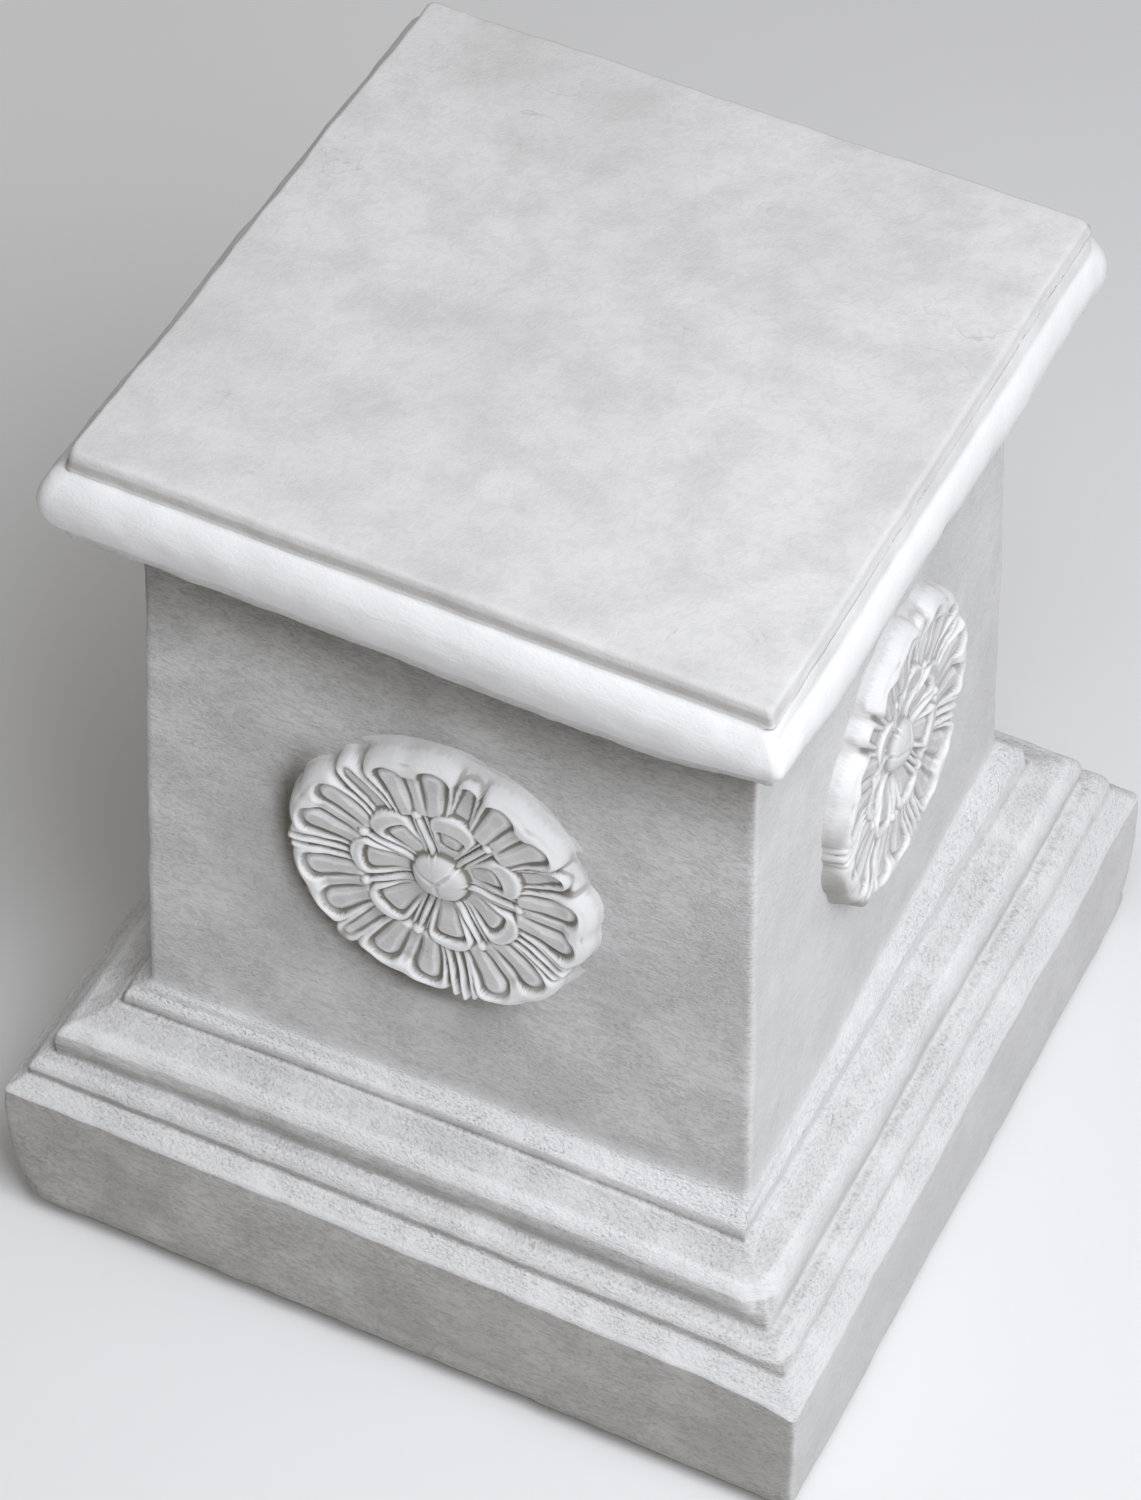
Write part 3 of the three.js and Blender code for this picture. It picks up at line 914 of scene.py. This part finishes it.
@dataclass
class Body:
    """The body of the casting, from the underside to the top, as one closed surface."""

    block: Block = field(default_factory=Block)
    moulding: BaseMoulding = field(default_factory=BaseMoulding)
    shaft: Shaft = field(default_factory=Shaft)
    cap: Cap = field(default_factory=Cap)
    warp: Warp = Warp()
    sides: Sides = Sides()
    corner_steps: int = 8
    side_steps: int = 96
    wave_depth: float = 0.3
    lump_depth: float = 0.14
    dent_depth: float = 0.07
    moulded_below: tuple = (96.0, 88.0)
    # Painted shade under the cap: the heights it grows over, and its strength
    shaded: tuple = (226.0, 258.0)
    shade_wash: float = 0.5
    slope_from: float = 294.5
    # Painted shadow of each rosette on the shaft
    rosette_shadow_share: float = 0.95
    rosette_shadow_radius: float = 47.0
    rosette_shadow_width: float = 4.2
    rosette_shadow_fall: float = 4.5
    rosette_shadow_side: float = 216.0
    rosette_shadow_out: float = 80.0

    def profile(self) -> np.ndarray:
        """Works out the whole profile.

        Returns:
            The rows of the bands' tables.
        """
        block = self.block.bands()
        arris = block[-1]
        bands = [*block, *self.moulding.bands((arris.half[-1], arris.height[-1])), *self.shaft.bands()]
        shaft_half = bands[-1].half[-1]
        bands += self.cap.bands(shaft_half)
        return np.concatenate([band.table() for band in bands])

    def column(self, profile: np.ndarray, column: int) -> np.ndarray:
        """One column of the profile, kept upright so that it spreads over the points of each ring."""
        return profile[:, column : column + 1]

    def rings(self, profile: np.ndarray) -> np.ndarray:
        """Carries the profile round a square with round corners.

        In each quarter, an arc goes round the corner, and a straight run then goes along the side to the
        next corner. The quarter is turned into place, and then turned and shifted to its seat.

        Args:
            profile: the rows of the profile.

        Returns:
            Points, rings by columns by 3.
        """
        half = self.column(profile, Column.HALF)
        turn = np.radians(self.column(profile, Column.TURN))
        sweep = np.linspace(0, math.pi / 2, self.corner_steps + 1)[None]
        along = (0.5 - 0.5 * np.cos(np.linspace(0, math.pi, self.side_steps + 2)))[None, 1:-1]
        quarters = []
        for quarter in range(4):
            radius = self.column(profile, Column.FIRST_CORNER + quarter)
            following = self.column(profile, Column.FIRST_CORNER + (quarter + 1) % 4)
            start = half - radius
            run = start + (-(half - following) - start) * along
            x = np.concatenate([start + radius * np.cos(sweep), run], axis=1)
            y = np.concatenate([start + radius * np.sin(sweep), np.broadcast_to(half, run.shape)], axis=1)
            angle = turn + quarter * math.pi / 2
            plan_x = x * np.cos(angle) - y * np.sin(angle) + self.column(profile, Column.X)
            plan_y = x * np.sin(angle) + y * np.cos(angle) + self.column(profile, Column.Y)
            quarters.append(np.stack([plan_x, plan_y], axis=-1))
        plan = np.concatenate(quarters, axis=1)
        height = np.broadcast_to(self.column(profile, Column.HEIGHT), plan.shape[:2])
        return np.concatenate([plan, height[..., None]], axis=-1)

    def build(self, stone: bpy.types.Material) -> bpy.types.Object:
        """Builds and dresses the body.

        Args:
            stone: its material.

        Returns:
            The finished piece.
        """
        profile = self.profile()
        rings = self.warp.moved(self.rings(profile), profile[:, Column.HALF])
        rings = self.weathered(rings)
        low, high = (np.array(corner) / MM for corner in CAD_BOX)
        rings = np.clip(rings, low, high)
        first = np.array([0.0, 0.0, 0.0])
        last = np.array([CAP_SEAT.x, CAP_SEAT.y, rings[-1, :, 2].mean()])
        piece = ring_mesh("plinth_body", rings, first, last)
        dress(piece, stone, self.numbers(profile, rings))
        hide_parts(NODE)
        return piece

    def numbers(self, profile: np.ndarray, rings: np.ndarray) -> dict[str, np.ndarray]:
        """Works out what the stone reads at each point.

        Painted shade lies under the cap and painted shadows lie round the rosettes, and both keep the brush
        off.
        The right side, which faces the key light, loses most painted shade and is painted paler, apart from
        the slope behind the bullnose, and the left side is painted darker and less pale.

        Args:
            profile: the rows of the profile.
            rings: the finished surface.

        Returns:
            Wash with painted shade, wear with painted light, and coarse, each rings by columns.
        """
        height = self.column(profile, Column.HEIGHT)
        facing = ring_normals(rings)[..., 0]
        sides = self.sides
        right = smoothstep(*sides.right_facing, facing)
        left = smoothstep(*sides.left_facing, -facing)
        moulded = smoothstep(*self.moulded_below, rings[..., 2])
        # Painted shade under the cap, on the top of the shaft's faces
        shade = smoothstep(*self.shaded, height) * (height < self.cap.soffit + 0.3)
        # Painted shadows of the rosettes on the shaft
        rosette_shadow = self.rosette_shadow(rings)
        # Wash with painted shade, more of it on the left side, which faces away from the key light, and
        # most of it taken off the right side, which faces it
        wash_and_shade = self.column(profile, Column.WASH_AND_SHADE) + self.shade_wash * shade
        wash_and_shade = np.clip(wash_and_shade, 0, 1) * (1 - sides.right_lit_shade_loss * right)
        wash_and_shade = wash_and_shade * (1 + sides.left_shade_gain * left) + sides.left_shade * left
        wash_and_shade = np.clip(wash_and_shade + rosette_shadow, 0, 1)
        # Wear with painted light: the right side, which faces the key light, is painted paler, and the left
        # side less pale
        wear_and_light = self.column(profile, Column.WEAR_AND_LIGHT)
        wear_and_light = wear_and_light + right * (sides.right_lit_paling + sides.right_moulded_lit_paling * moulded)
        wear_and_light = np.clip(wear_and_light, 0, 1) * (1 - sides.left_shaded_paling_loss * left)
        wear_and_light = wear_and_light * (1 - np.clip(rosette_shadow + shade * (1 - right), 0, 1))
        slope = right * (height > self.slope_from)
        wear_and_light = wear_and_light * (1 - sides.right_slope_paling_loss * slope - sides.right_moulded_paling_loss * right * moulded)
        coarse = self.column(profile, Column.COARSE) * (1 - sides.right_coarse_loss * right)
        return {"wash_and_shade": wash_and_shade, "wear_and_light": wear_and_light, "coarse": coarse}

    def rosette_shadow(self, rings: np.ndarray) -> np.ndarray:
        """Painted shadow of each rosette on the shaft, round its foot, mostly below and to the left of it.

        Args:
            rings: points of the body.

        Returns:
            Painted shadow, rings by columns.
        """
        total = np.zeros(rings.shape[:2])
        for side in Side:
            if side is Side.RIGHT:
                continue
            turn = math.radians(SHAFT_SEAT.turn) + side.value * math.pi / 2
            x = rings[..., 0] - SHAFT_SEAT.x
            y = rings[..., 1] - SHAFT_SEAT.y
            across = x * math.cos(turn) + y * math.sin(turn)
            out = x * math.sin(turn) - y * math.cos(turn)
            up = rings[..., 2] - Rosette.z
            around = np.arctan2(up, across)
            lee = smoothstep(0.0, 0.75, np.cos(around - math.radians(self.rosette_shadow_side)))
            middle = self.rosette_shadow_radius + self.rosette_shadow_fall * smoothstep(0.0, 1.0, -np.sin(around))
            ring = bump(np.hypot(across, up) - middle, self.rosette_shadow_width)
            total += self.rosette_shadow_share * lee * ring * (out > self.rosette_shadow_out)
        return total

    def weathered(self, rings: np.ndarray) -> np.ndarray:
        """Gives the straight work the slow waves and small lumps of a hand-made casting.

        Args:
            rings: the true surface.

        Returns:
            The surface pushed in or out along its normals, and left flat on the ground.
        """
        points = rings.reshape(-1, 3)
        slow = waves(points, shortest=45, longest=120, count=24, seed=3)
        lumps = waves(points, shortest=9, longest=22, count=48, seed=5)
        dents = waves(points, shortest=5, longest=8, count=48, seed=7)
        push = self.wave_depth * slow + self.lump_depth * lumps + self.dent_depth * dents
        push = push.reshape(rings.shape[:2])
        push = push * smoothstep(0.5, 6.0, rings[..., 2])
        return rings + ring_normals(rings) * push[..., None]


class Filler(Enum):
    """What shows between two outer petals."""

    CUP = "long narrow cup with a round end"
    RIBS = "three slim ribs"
    LEAF = "one leaf that reaches past the rim"


def quarter_round(inside: np.ndarray, width: float, power: float = 0.5) -> np.ndarray:
    """Rises from 0 at an edge to 1 a width inside it, steeply at first, as a rounded edge does."""
    left = 1 - np.clip(inside / width, 0, 1)
    return np.clip(1 - left**2, 0, 1) ** power


@dataclass(frozen=True)
class Polar:
    """Points of the carving, by distance from its middle and by angle in degrees.

    The angle goes anticlockwise from the right-hand side of the face.
    """

    radius: np.ndarray
    angle: np.ndarray

    def offset(self, middle: float) -> np.ndarray:
        """Angle from a middle line, from -180 to 180 degrees."""
        return wrapped(self.angle - middle)

    def across(self, middle: float) -> np.ndarray:
        """Distance from a middle line, along the arc."""
        return np.radians(self.offset(middle)) * self.radius


@dataclass(frozen=True)
class OuterPetal:
    """An outer petal: a slab with round sides, two hollows, and a fold between them."""

    half_angle: float = 20.6
    end: float = 46.2
    end_fall: float = 2.6
    cleft: float = 0.7
    cleft_angle: float = 4.0
    edge_width: float = 3.8
    rim: float = 7.7
    level: float = 5.7
    rise: tuple = (30.0, 40.5)
    fold_level: float = 5.3
    fold_rise: tuple = (36.0, 40.0)
    fold_angles: tuple = (6.5, 4.0)
    hollow_angle: float = 10.1
    hollow_half: float = 8.3
    hollow_end: float = 42.4
    hollow_fall: float = 2.4
    floor: float = 4.5
    deepest: float = 33.0
    floor_rise: float = 1.3
    lip: float = 0.7
    lip_inside: float = 2.6

    def height(self, at: Polar, fold: float) -> np.ndarray:
        """Height of one outer petal.

        The slab ends at its half angle, and at an outer end that falls with the fourth power of the angle
        from the fold and is notched at the fold. Each hollow is a fan with round corners, and its floor
        rises with the square of the distance from its deepest radius. A groove runs inside the rim.

        Args:
            at: the points.
            fold: angle of its fold.

        Returns:
            Height at the points.
        """
        apart = np.abs(at.offset(fold))
        degree = np.radians(1.0) * at.radius
        side = (self.half_angle - apart) * degree
        fall = self.end_fall * (apart / 20.0) ** 4
        end = self.end - fall - self.cleft * bump(apart, self.cleft_angle) - at.radius
        edge = quarter_round(smooth_min(side * 2.4, end, 2.0), self.edge_width, 0.6)
        level = self.level + (self.rim - self.level) * smoothstep(*self.rise, at.radius)
        fold_level = self.fold_level + (self.rim - self.fold_level) * smoothstep(*self.fold_rise, at.radius)
        level = level + (fold_level - level) * smoothstep(*self.fold_angles, apart)
        across = (self.hollow_half - np.abs(apart - self.hollow_angle)) * degree
        top = self.hollow_end - self.hollow_fall * ((apart - 10.6) / 7.3) ** 2 - at.radius
        inside = smooth_min(across, top, 2.2)
        floor = self.floor + 0.5 * ((at.radius - self.deepest) / 7.0) ** 2
        floor = floor + self.floor_rise * smoothstep(0.9, 3.6, inside)
        cut = smoothstep(0.0, 1.1, inside)
        lip = self.lip * bump(end - self.lip_inside, 0.7) * smoothstep(18.0, 12.0, apart)
        height = (level - np.maximum(level - floor, 0.0) * cut - lip) * edge
        return np.where((side > 0) & (end > 0), height, OUTSIDE)


@dataclass(frozen=True)
class Scoop:
    """A filler with one hollow: its half width, the width of its wall, and the depth of its hollow."""

    half: float
    wall: float
    depth: float


@dataclass(frozen=True)
class Between:
    """What shows between two outer petals: ribs, or a slab with a round end and a hollow."""

    level: float = 5.0
    rise: float = 1.8
    cup: Scoop = Scoop(3.9, 1.1, 1.9)
    leaf: Scoop = Scoop(4.2, 1.6, 1.0)
    rib_half: float = 1.35
    rib_apart: float = 2.9
    rib_rise: float = 0.5

    def height(self, at: Polar, middle: float, reach: float, kind: Filler) -> np.ndarray:
        """Height of one filler.

        The end of a rib falls straight from its middle line, and that of a cup or leaf with the square of
        the distance from it.

        Args:
            at: the points.
            middle: angle of its middle line.
            reach: radius of its outer end.
            kind: which of the fillers it is.

        Returns:
            Height at the points.
        """
        across = np.abs(at.across(middle))
        base = self.level + self.rise * smoothstep(28, 42, at.radius)
        if kind is Filler.RIBS:
            nearest = np.minimum(across, np.abs(across - self.rib_apart))
            inside = smooth_min(self.rib_half - nearest, reach - 0.35 * across - at.radius, 1.0)
            height = (base + self.rib_rise) * quarter_round(inside, 1.3, 0.45)
            return np.where(inside > 0, height, OUTSIDE)
        scoop = self.cup if kind is Filler.CUP else self.leaf
        inside = smooth_min(scoop.half - across, reach - 0.07 * across**2 - at.radius, 3.0)
        hollow = scoop.depth * smoothstep(0.0, 0.9, inside - scoop.wall)
        return np.where(inside > 0, (base - hollow) * quarter_round(inside, 1.2), OUTSIDE)


@dataclass(frozen=True)
class InnerPetal:
    """An inner petal: a cup with a rolled rim at its outer end."""

    half_angle: float = 16.5
    margin: float = 1.0
    end: float = 26.8
    end_fall: float = 0.045
    edge_width: float = 1.3
    level: float = 3.4
    rise: float = 2.8
    hollow_angle: float = 15.0
    hollow_past: float = 0.8
    hollow_fall: float = 0.03
    floor: float = 3.2
    floor_rise: float = 0.9
    wall_rise: float = 1.1

    def height(self, at: Polar, cup: tuple[float, float, float]) -> np.ndarray:
        """Height of one inner petal.

        Its end and the end of its hollow fall with the square of the distance from its middle line, and
        the hollow's floor rises outward and toward its walls.

        Args:
            at: the points.
            cup: angle of its middle, and the radii where its hollow starts and ends.

        Returns:
            Height at the points.
        """
        middle, hollow_from, hollow_to = cup
        across = np.abs(at.across(middle))
        side = np.radians(self.half_angle) * at.radius + self.margin - across
        inside = smooth_min(side, self.end - self.end_fall * across**2 - at.radius, 3.0)
        level = self.level + self.rise * smoothstep(9.5, 22, at.radius)
        hollow_side = np.radians(self.hollow_angle) * at.radius - across
        outer_end = hollow_to + self.hollow_past - self.hollow_fall * across**2 - at.radius
        hollow_end = np.minimum(outer_end, (at.radius - hollow_from) * 1.6)
        hollow = smooth_min(hollow_side, hollow_end, 1.8)
        floor = self.floor + self.floor_rise * smoothstep(12, 20, at.radius)
        floor = floor + self.wall_rise * smoothstep(0.6, 2.6, hollow)
        height = level - np.maximum(level - floor, 0.0) * smoothstep(0.0, 1.0, hollow)
        return np.where(inside > 0, height * quarter_round(inside, self.edge_width), OUTSIDE)


@dataclass(frozen=True)
class Rod:
    """The slim rod between two inner petals, with a line on each side and a ball at its end."""

    half: float = 1.15
    level: float = 4.4
    line_half: float = 0.8
    line_level: float = 3.6
    line_apart: float = 2.0
    ball_at: float = 23.8
    ball_radius: float = 1.8
    ball_level: float = 4.0
    ball_rise: float = 2.2

    def height(self, at: Polar, middle: float) -> np.ndarray:
        """Height of one rod.

        Args:
            at: the points.
            middle: angle of its middle line.

        Returns:
            Height at the points.
        """
        across = np.abs(at.across(middle))
        length = smoothstep(24.6, 23.4, at.radius) * (1.0 + 0.28 * smoothstep(10, 22, at.radius))
        core = self.level * length * quarter_round(self.half - across, 1.1, 0.4)
        inside = self.line_half - np.abs(across - self.line_apart)
        flank = self.line_level * length * quarter_round(inside, 0.75, 0.3)
        away = np.hypot(across, at.radius - self.ball_at)
        dome = np.sqrt(np.clip(1 - (away / self.ball_radius) ** 2, 0, 1))
        ball = np.where(away < self.ball_radius, self.ball_level + self.ball_rise * dome, OUTSIDE)
        return np.maximum(np.maximum(core, flank), ball)


@dataclass(frozen=True)
class Bud:
    """The bud: a steep-sided dome with three creases that run out from its top.

    Each crease is given by its angle and its depth.
    """

    radius: float = 8.8
    foot: float = 2.0
    rise: float = 5.6
    creases: tuple = ((50.0, 0.8), (165.0, 0.5), (-85.0, 0.5))
    crease_width: float = 0.55

    def height(self, at: Polar) -> np.ndarray:
        """Height of the bud.

        Args:
            at: the points.

        Returns:
            Height at the points.
        """
        dome = self.foot + self.rise * np.clip(1 - (at.radius / self.radius) ** 2, 0, 1) ** 0.5
        depths = np.zeros_like(at.radius)
        for middle, depth in self.creases:
            near = (np.abs(at.offset(middle)) < 90) * smoothstep(7.5, 4.0, at.radius)
            depths += depth * bump(at.across(middle), self.crease_width) * near
        return np.where(at.radius < self.radius, dome - depths, OUTSIDE)


@dataclass
class Rosette:
    """A rosette: a shallow dish of cleft petals round smaller cupped ones and a bud.

    It is worked out as a height above the face of the shaft. Every shape is a slab with rounded edges,
    and its hollows are cut into it with walls about two millimetres wide. Bends carry the outline in and
    out, each with its depth, its number of lobes and the angle that it starts at. Crowding puts the rings
    of points closer together toward the rim.
    """

    z: float = 183.5
    aside: float = 0.8
    root: float = 1.5
    foot_radius: float = 47.0
    foot_height: float = -0.8
    dish_rise: float = 5.0
    bowl: float = 2.0
    bowl_rise: float = 1.6
    bends: tuple = ((0.5, 3, 40), (0.4, 5, 200))
    handwork_depth: float = 0.14
    # Wash with painted shade in creases and hollows
    crease_wash_and_shade: float = 1.8
    hollow_wash_and_shade: float = 0.15
    # Painted shadow on the lower left of the rim
    lee_rim_shadow: float = 0.8
    # Share of the painted shade kept on the right face, which faces the key light
    right_lit_shade_share: float = 0.5
    wear_and_light: float = 0.15
    # Painted highlight on the rim
    rim_highlight: float = 0.35
    coarse: float = 0.15
    columns: int = 600
    rows: int = 124
    crowding: float = 0.85
    outer_petal: OuterPetal = OuterPetal()
    between: Between = Between()
    inner_petal: InnerPetal = InnerPetal()
    rod: Rod = Rod()
    bud: Bud = Bud()
    petals: tuple = (102.3, 51.3, -2.5, -53.2, -104.9, -154.2, 157.7)
    fillers: tuple = (
        (76.8, 42.5, Filler.CUP),
        (25.0, 42.0, Filler.CUP),
        (-27.5, 43.5, Filler.RIBS),
        (-78.5, 45.4, Filler.RIBS),
        (-129.5, 46.4, Filler.LEAF),
        (-178.3, 45.2, Filler.RIBS),
        (130.0, 45.6, Filler.LEAF),
    )
    cups: tuple = (
        (78.7, 12.0, 19.0),
        (26.0, 10.0, 20.0),
        (-28.4, 8.0, 21.2),
        (-80.5, 6.0, 22.6),
        (-132.4, 7.0, 22.6),
        (180.0, 6.0, 22.2),
        (132.4, 9.0, 20.4),
    )
    rods: tuple = (106.0, 53.0, -2.0, -58.0, -105.0, -154.6, 158.0)

    def height(self, at: Polar) -> np.ndarray:
        """Height of the carving: the highest of the dish, the fillers, the petals, the rods and the bud.

        The inner petals, the rods and the bud stand in a smooth bowl.

        Args:
            at: the points.

        Returns:
            Height at the points.
        """
        carved = self.foot_height + self.dish_rise * smoothstep(45.5, 41.0, at.radius)
        for middle, reach, kind in self.fillers:
            carved = np.maximum(carved, self.between.height(at, middle, reach, kind))
        for fold in self.petals:
            carved = np.maximum(carved, self.outer_petal.height(at, fold))
        bowl = self.bowl + self.bowl_rise * smoothstep(9, 24, at.radius)
        carved = carved + (bowl - carved) * smoothstep(24.5, 21.5, at.radius)
        for middle in self.rods:
            carved = np.maximum(carved, self.rod.height(at, middle))
        for cup in self.cups:
            carved = np.maximum(carved, self.inner_petal.height(at, cup))
        return np.maximum(carved, self.bud.height(at))

    def build(self, side: Side, shaft: Shaft, stone: bpy.types.Material) -> bpy.types.Object:
        """Builds the rosette on one face and dresses it.

        Args:
            side: the face.
            shaft: the shaft, for where its faces are.
            stone: the material.

        Returns:
            The finished piece.
        """
        angles = np.linspace(0, 360, self.columns, endpoint=False)
        radii = self.foot_radius * np.linspace(1, 0.01, self.rows) ** self.crowding
        radius, angle = np.meshgrid(radii, angles, indexing="ij")
        bend = sum(depth * np.sin(np.radians(lobes * angle + start)) for depth, lobes, start in self.bends)
        height = self.softened(self.height(Polar(radius + bend * radius / 46, angle)), 1)
        numbers = self.numbers(Polar(radius, angle), height, side)
        height[0] = self.foot_height
        x = radius * np.cos(np.radians(angle))
        y = radius * np.sin(np.radians(angle))
        flat = np.stack([x, y, height], axis=-1)
        seed = 11 + side.value
        handwork = waves(flat.reshape(-1, 3), shortest=5, longest=14, count=40, seed=seed)
        handwork = handwork.reshape(radius.shape)
        flat[..., 2] += self.handwork_depth * handwork * smoothstep(46.0, 42.0, radius)
        root = flat[:1].copy()
        root[..., 2] = -self.root
        flat = np.concatenate([root, flat])
        poles = np.array([[0, 0, -self.root], [0, 0, flat[-1, :, 2].mean()]])
        placed = self.on_face(flat, side, shaft)
        poles = self.on_face(poles, side, shaft)
        piece = ring_mesh(f"rosette_{side.name.lower()}", placed, poles[0], poles[1])
        dress(piece, stone, numbers)
        return piece

    def numbers(self, at: Polar, height: np.ndarray, side: Side) -> dict[str, np.ndarray]:
        """Works out what the stone reads: wash and painted shade in creases and hollows, and wear and
        painted highlight on what stands up.

        A painted shadow lies on the lower left of the rim, and a painted highlight on the rest of the rim.
        The rosette on the right, which faces the key light, holds half as much wash and shade.

        Args:
            at: the points.
            height: their height.
            side: the face.

        Returns:
            Wash with painted shade, wear with painted light, and coarse, rings by columns, with the first
            ring twice for the root.
        """
        crease = self.softened(height, 5) - height
        hollow = self.softened(height, 40) - height
        inland = smoothstep(45.0, 43.0, at.radius)
        # Painted shadow on the lower left of the rim, away from the key light
        lee = smoothstep(0.1, 0.9, np.cos(np.radians(at.angle - 225))) * smoothstep(42.5, 45.0, at.radius)
        # Wash with painted shade in the creases and hollows
        wash_and_shade = self.crease_wash_and_shade * smoothstep(0.03, 0.16, crease)
        wash_and_shade = wash_and_shade + self.hollow_wash_and_shade * smoothstep(0.2, 1.2, hollow)
        wash_and_shade = np.clip(inland * np.clip(wash_and_shade, 0, 1) + self.lee_rim_shadow * lee, 0, 1)
        # Painted shade: the rosette on the right, which faces the key light, keeps only half of it
        wash_and_shade = wash_and_shade * (self.right_lit_shade_share if side is Side.RIGHT else 1.0)
        # Painted highlight on the rim and on raised carving, over rubbed wear, but none on the lower left
        wall = smoothstep(39.0, 42.0, at.radius)
        wear_and_light = self.wear_and_light + self.rim_highlight * wall
        wear_and_light = wear_and_light + smoothstep(0.02, 0.15, -crease) + smoothstep(0.1, 0.8, -hollow)
        wear_and_light = np.clip(wear_and_light, 0, 1) * (1 - lee)
        numbers = {"wash_and_shade": wash_and_shade, "wear_and_light": wear_and_light, "coarse": np.full(wash_and_shade.shape, self.coarse)}
        return {name: np.concatenate([values[:1], values]) for name, values in numbers.items()}

    def softened(self, height: np.ndarray, rounds: int) -> np.ndarray:
        """Blurs a height over its neighbours in both directions.

        Args:
            height: rings by columns.
            rounds: how many times.

        Returns:
            The blurred height.
        """
        for _ in range(rounds):
            padded = np.pad(height, ((1, 1), (0, 0)), mode="edge")
            height = (padded[:-2] + 2 * padded[1:-1] + padded[2:]) / 4
            height = (np.roll(height, 1, axis=1) + 2 * height + np.roll(height, -1, axis=1)) / 4
        return height

    def on_face(self, points: np.ndarray, side: Side, shaft: Shaft) -> np.ndarray:
        """Stands points up on one face: leaned back with its taper, turned round the shaft, and seated.

        Args:
            points: points with X to the right, Y up and Z outward, in millimetres.
            side: the face.
            shaft: the shaft.

        Returns:
            The points in the object's own frame.
        """
        turn = math.radians(SHAFT_SEAT.turn) + side.value * math.pi / 2
        matrix = (
            Matrix.Translation((SHAFT_SEAT.x, SHAFT_SEAT.y, 0))
            @ Matrix.Rotation(turn, 4, "Z")
            @ Matrix.Translation((self.aside, -shaft.half_at(self.z), self.z))
            @ Matrix.Rotation(math.pi / 2 - shaft.lean(), 4, "X")
        )
        rotation = np.array(matrix.to_3x3())
        return points @ rotation.T + np.array(matrix.translation)


@dataclass
class Studio:
    """Pale floor, soft lights and the camera."""

    floor_half: float = 4.0
    floor_colour: str = "#f6f6f6"
    floor_roughness: float = 0.9
    surround_colour: str = "#fffdf9"
    surround_strength: float = 0.27
    key_colour: str = "#f7f9ff"
    key_place: tuple = (0.53, -0.36, 1.16)
    key_size: float = 0.7
    key_power: float = 12.5
    aim: tuple = (0.0, 0.0, 0.15)
    camera_lens: float = 125.0
    camera_sensor: float = 36.0
    camera_nearest: float = 0.05
    camera_azimuth: float = 25.944
    camera_elevation: float = 48.421
    camera_roll: float = 0.37
    camera_place: tuple = (0.42573, -0.88661, 1.24664)

    def floor(self) -> bpy.types.Object:
        """Makes the floor, a plain pale sheet that the plinth stands on.

        Returns:
            The sheet.
        """
        half = self.floor_half
        mesh = bpy.data.meshes.new("floor")
        corners = [(-half, -half, 0), (half, -half, 0), (half, half, 0), (-half, half, 0)]
        mesh.from_pydata(corners, [], [(0, 1, 2, 3)])
        paper = bpy.data.materials.new("pale_paper")
        paper.use_nodes = True
        shader = paper.node_tree.nodes["Principled BSDF"]
        shader.inputs["Base Color"].default_value = linear(self.floor_colour)
        shader.inputs["Roughness"].default_value = self.floor_roughness
        mesh.materials.append(paper)
        sheet = bpy.data.objects.new("floor", mesh)
        bpy.context.scene.collection.objects.link(sheet)
        return sheet

    def light(self, name: str, place: tuple, size: float, power: float) -> bpy.types.Object:
        """Makes one square soft light that faces the plinth.

        Args:
            name: name of the light.
            place: where it hangs, in metres.
            size: its side, in metres.
            power: its power, in watts.

        Returns:
            The light.
        """
        lamp = bpy.data.lights.new(name, "AREA")
        lamp.shape = "SQUARE"
        lamp.size = size
        lamp.energy = power
        made = bpy.data.objects.new(name, lamp)
        made.location = place
        made.rotation_euler = (Vector(self.aim) - Vector(place)).to_track_quat("-Z", "Y").to_euler()
        bpy.context.scene.collection.objects.link(made)
        return made

    def lights(self) -> None:
        """Makes the lights: an even pale surround, and one large soft light above and to the right."""
        world = bpy.data.worlds.new("studio")
        world.use_nodes = True
        background = world.node_tree.nodes["Background"]
        background.inputs["Color"].default_value = linear(self.surround_colour)
        background.inputs["Strength"].default_value = self.surround_strength
        bpy.context.scene.world = world
        key = self.light("key", self.key_place, self.key_size, self.key_power)
        key.data.color = linear(self.key_colour)[:3]

    def camera(self) -> bpy.types.Object:
        """Makes the camera, where it stood for the photograph.

        Returns:
            The camera.
        """
        lens = bpy.data.cameras.new("camera")
        lens.lens = self.camera_lens
        lens.sensor_width = self.camera_sensor
        lens.clip_start = self.camera_nearest
        made = bpy.data.objects.new("camera", lens)
        turn = (
            Matrix.Rotation(math.radians(self.camera_azimuth), 4, "Z")
            @ Matrix.Rotation(math.radians(90 - self.camera_elevation), 4, "X")
            @ Matrix.Rotation(math.radians(self.camera_roll), 4, "Z")
        )
        made.matrix_world = Matrix.Translation(self.camera_place) @ turn
        bpy.context.scene.collection.objects.link(made)
        bpy.context.scene.camera = made
        return made


def main() -> None:
    """Builds the plinth and its studio, in order."""
    logging.basicConfig(level=logging.INFO, format="%(message)s")
    bpy.context.scene.view_settings.view_transform = "Standard"
    studio = Studio()
    studio.camera()
    studio.lights()
    studio.floor()
    stone = CastStone().material()
    body = Body()
    pieces = [body.build(stone)]
    rosette = Rosette()
    for side in Side:
        pieces.append(rosette.build(side, body.shaft, stone))
    for piece in pieces:
        log.info("%s: %d faces", piece.name, len(piece.data.polygons))


if __name__ == "__main__":
    main()
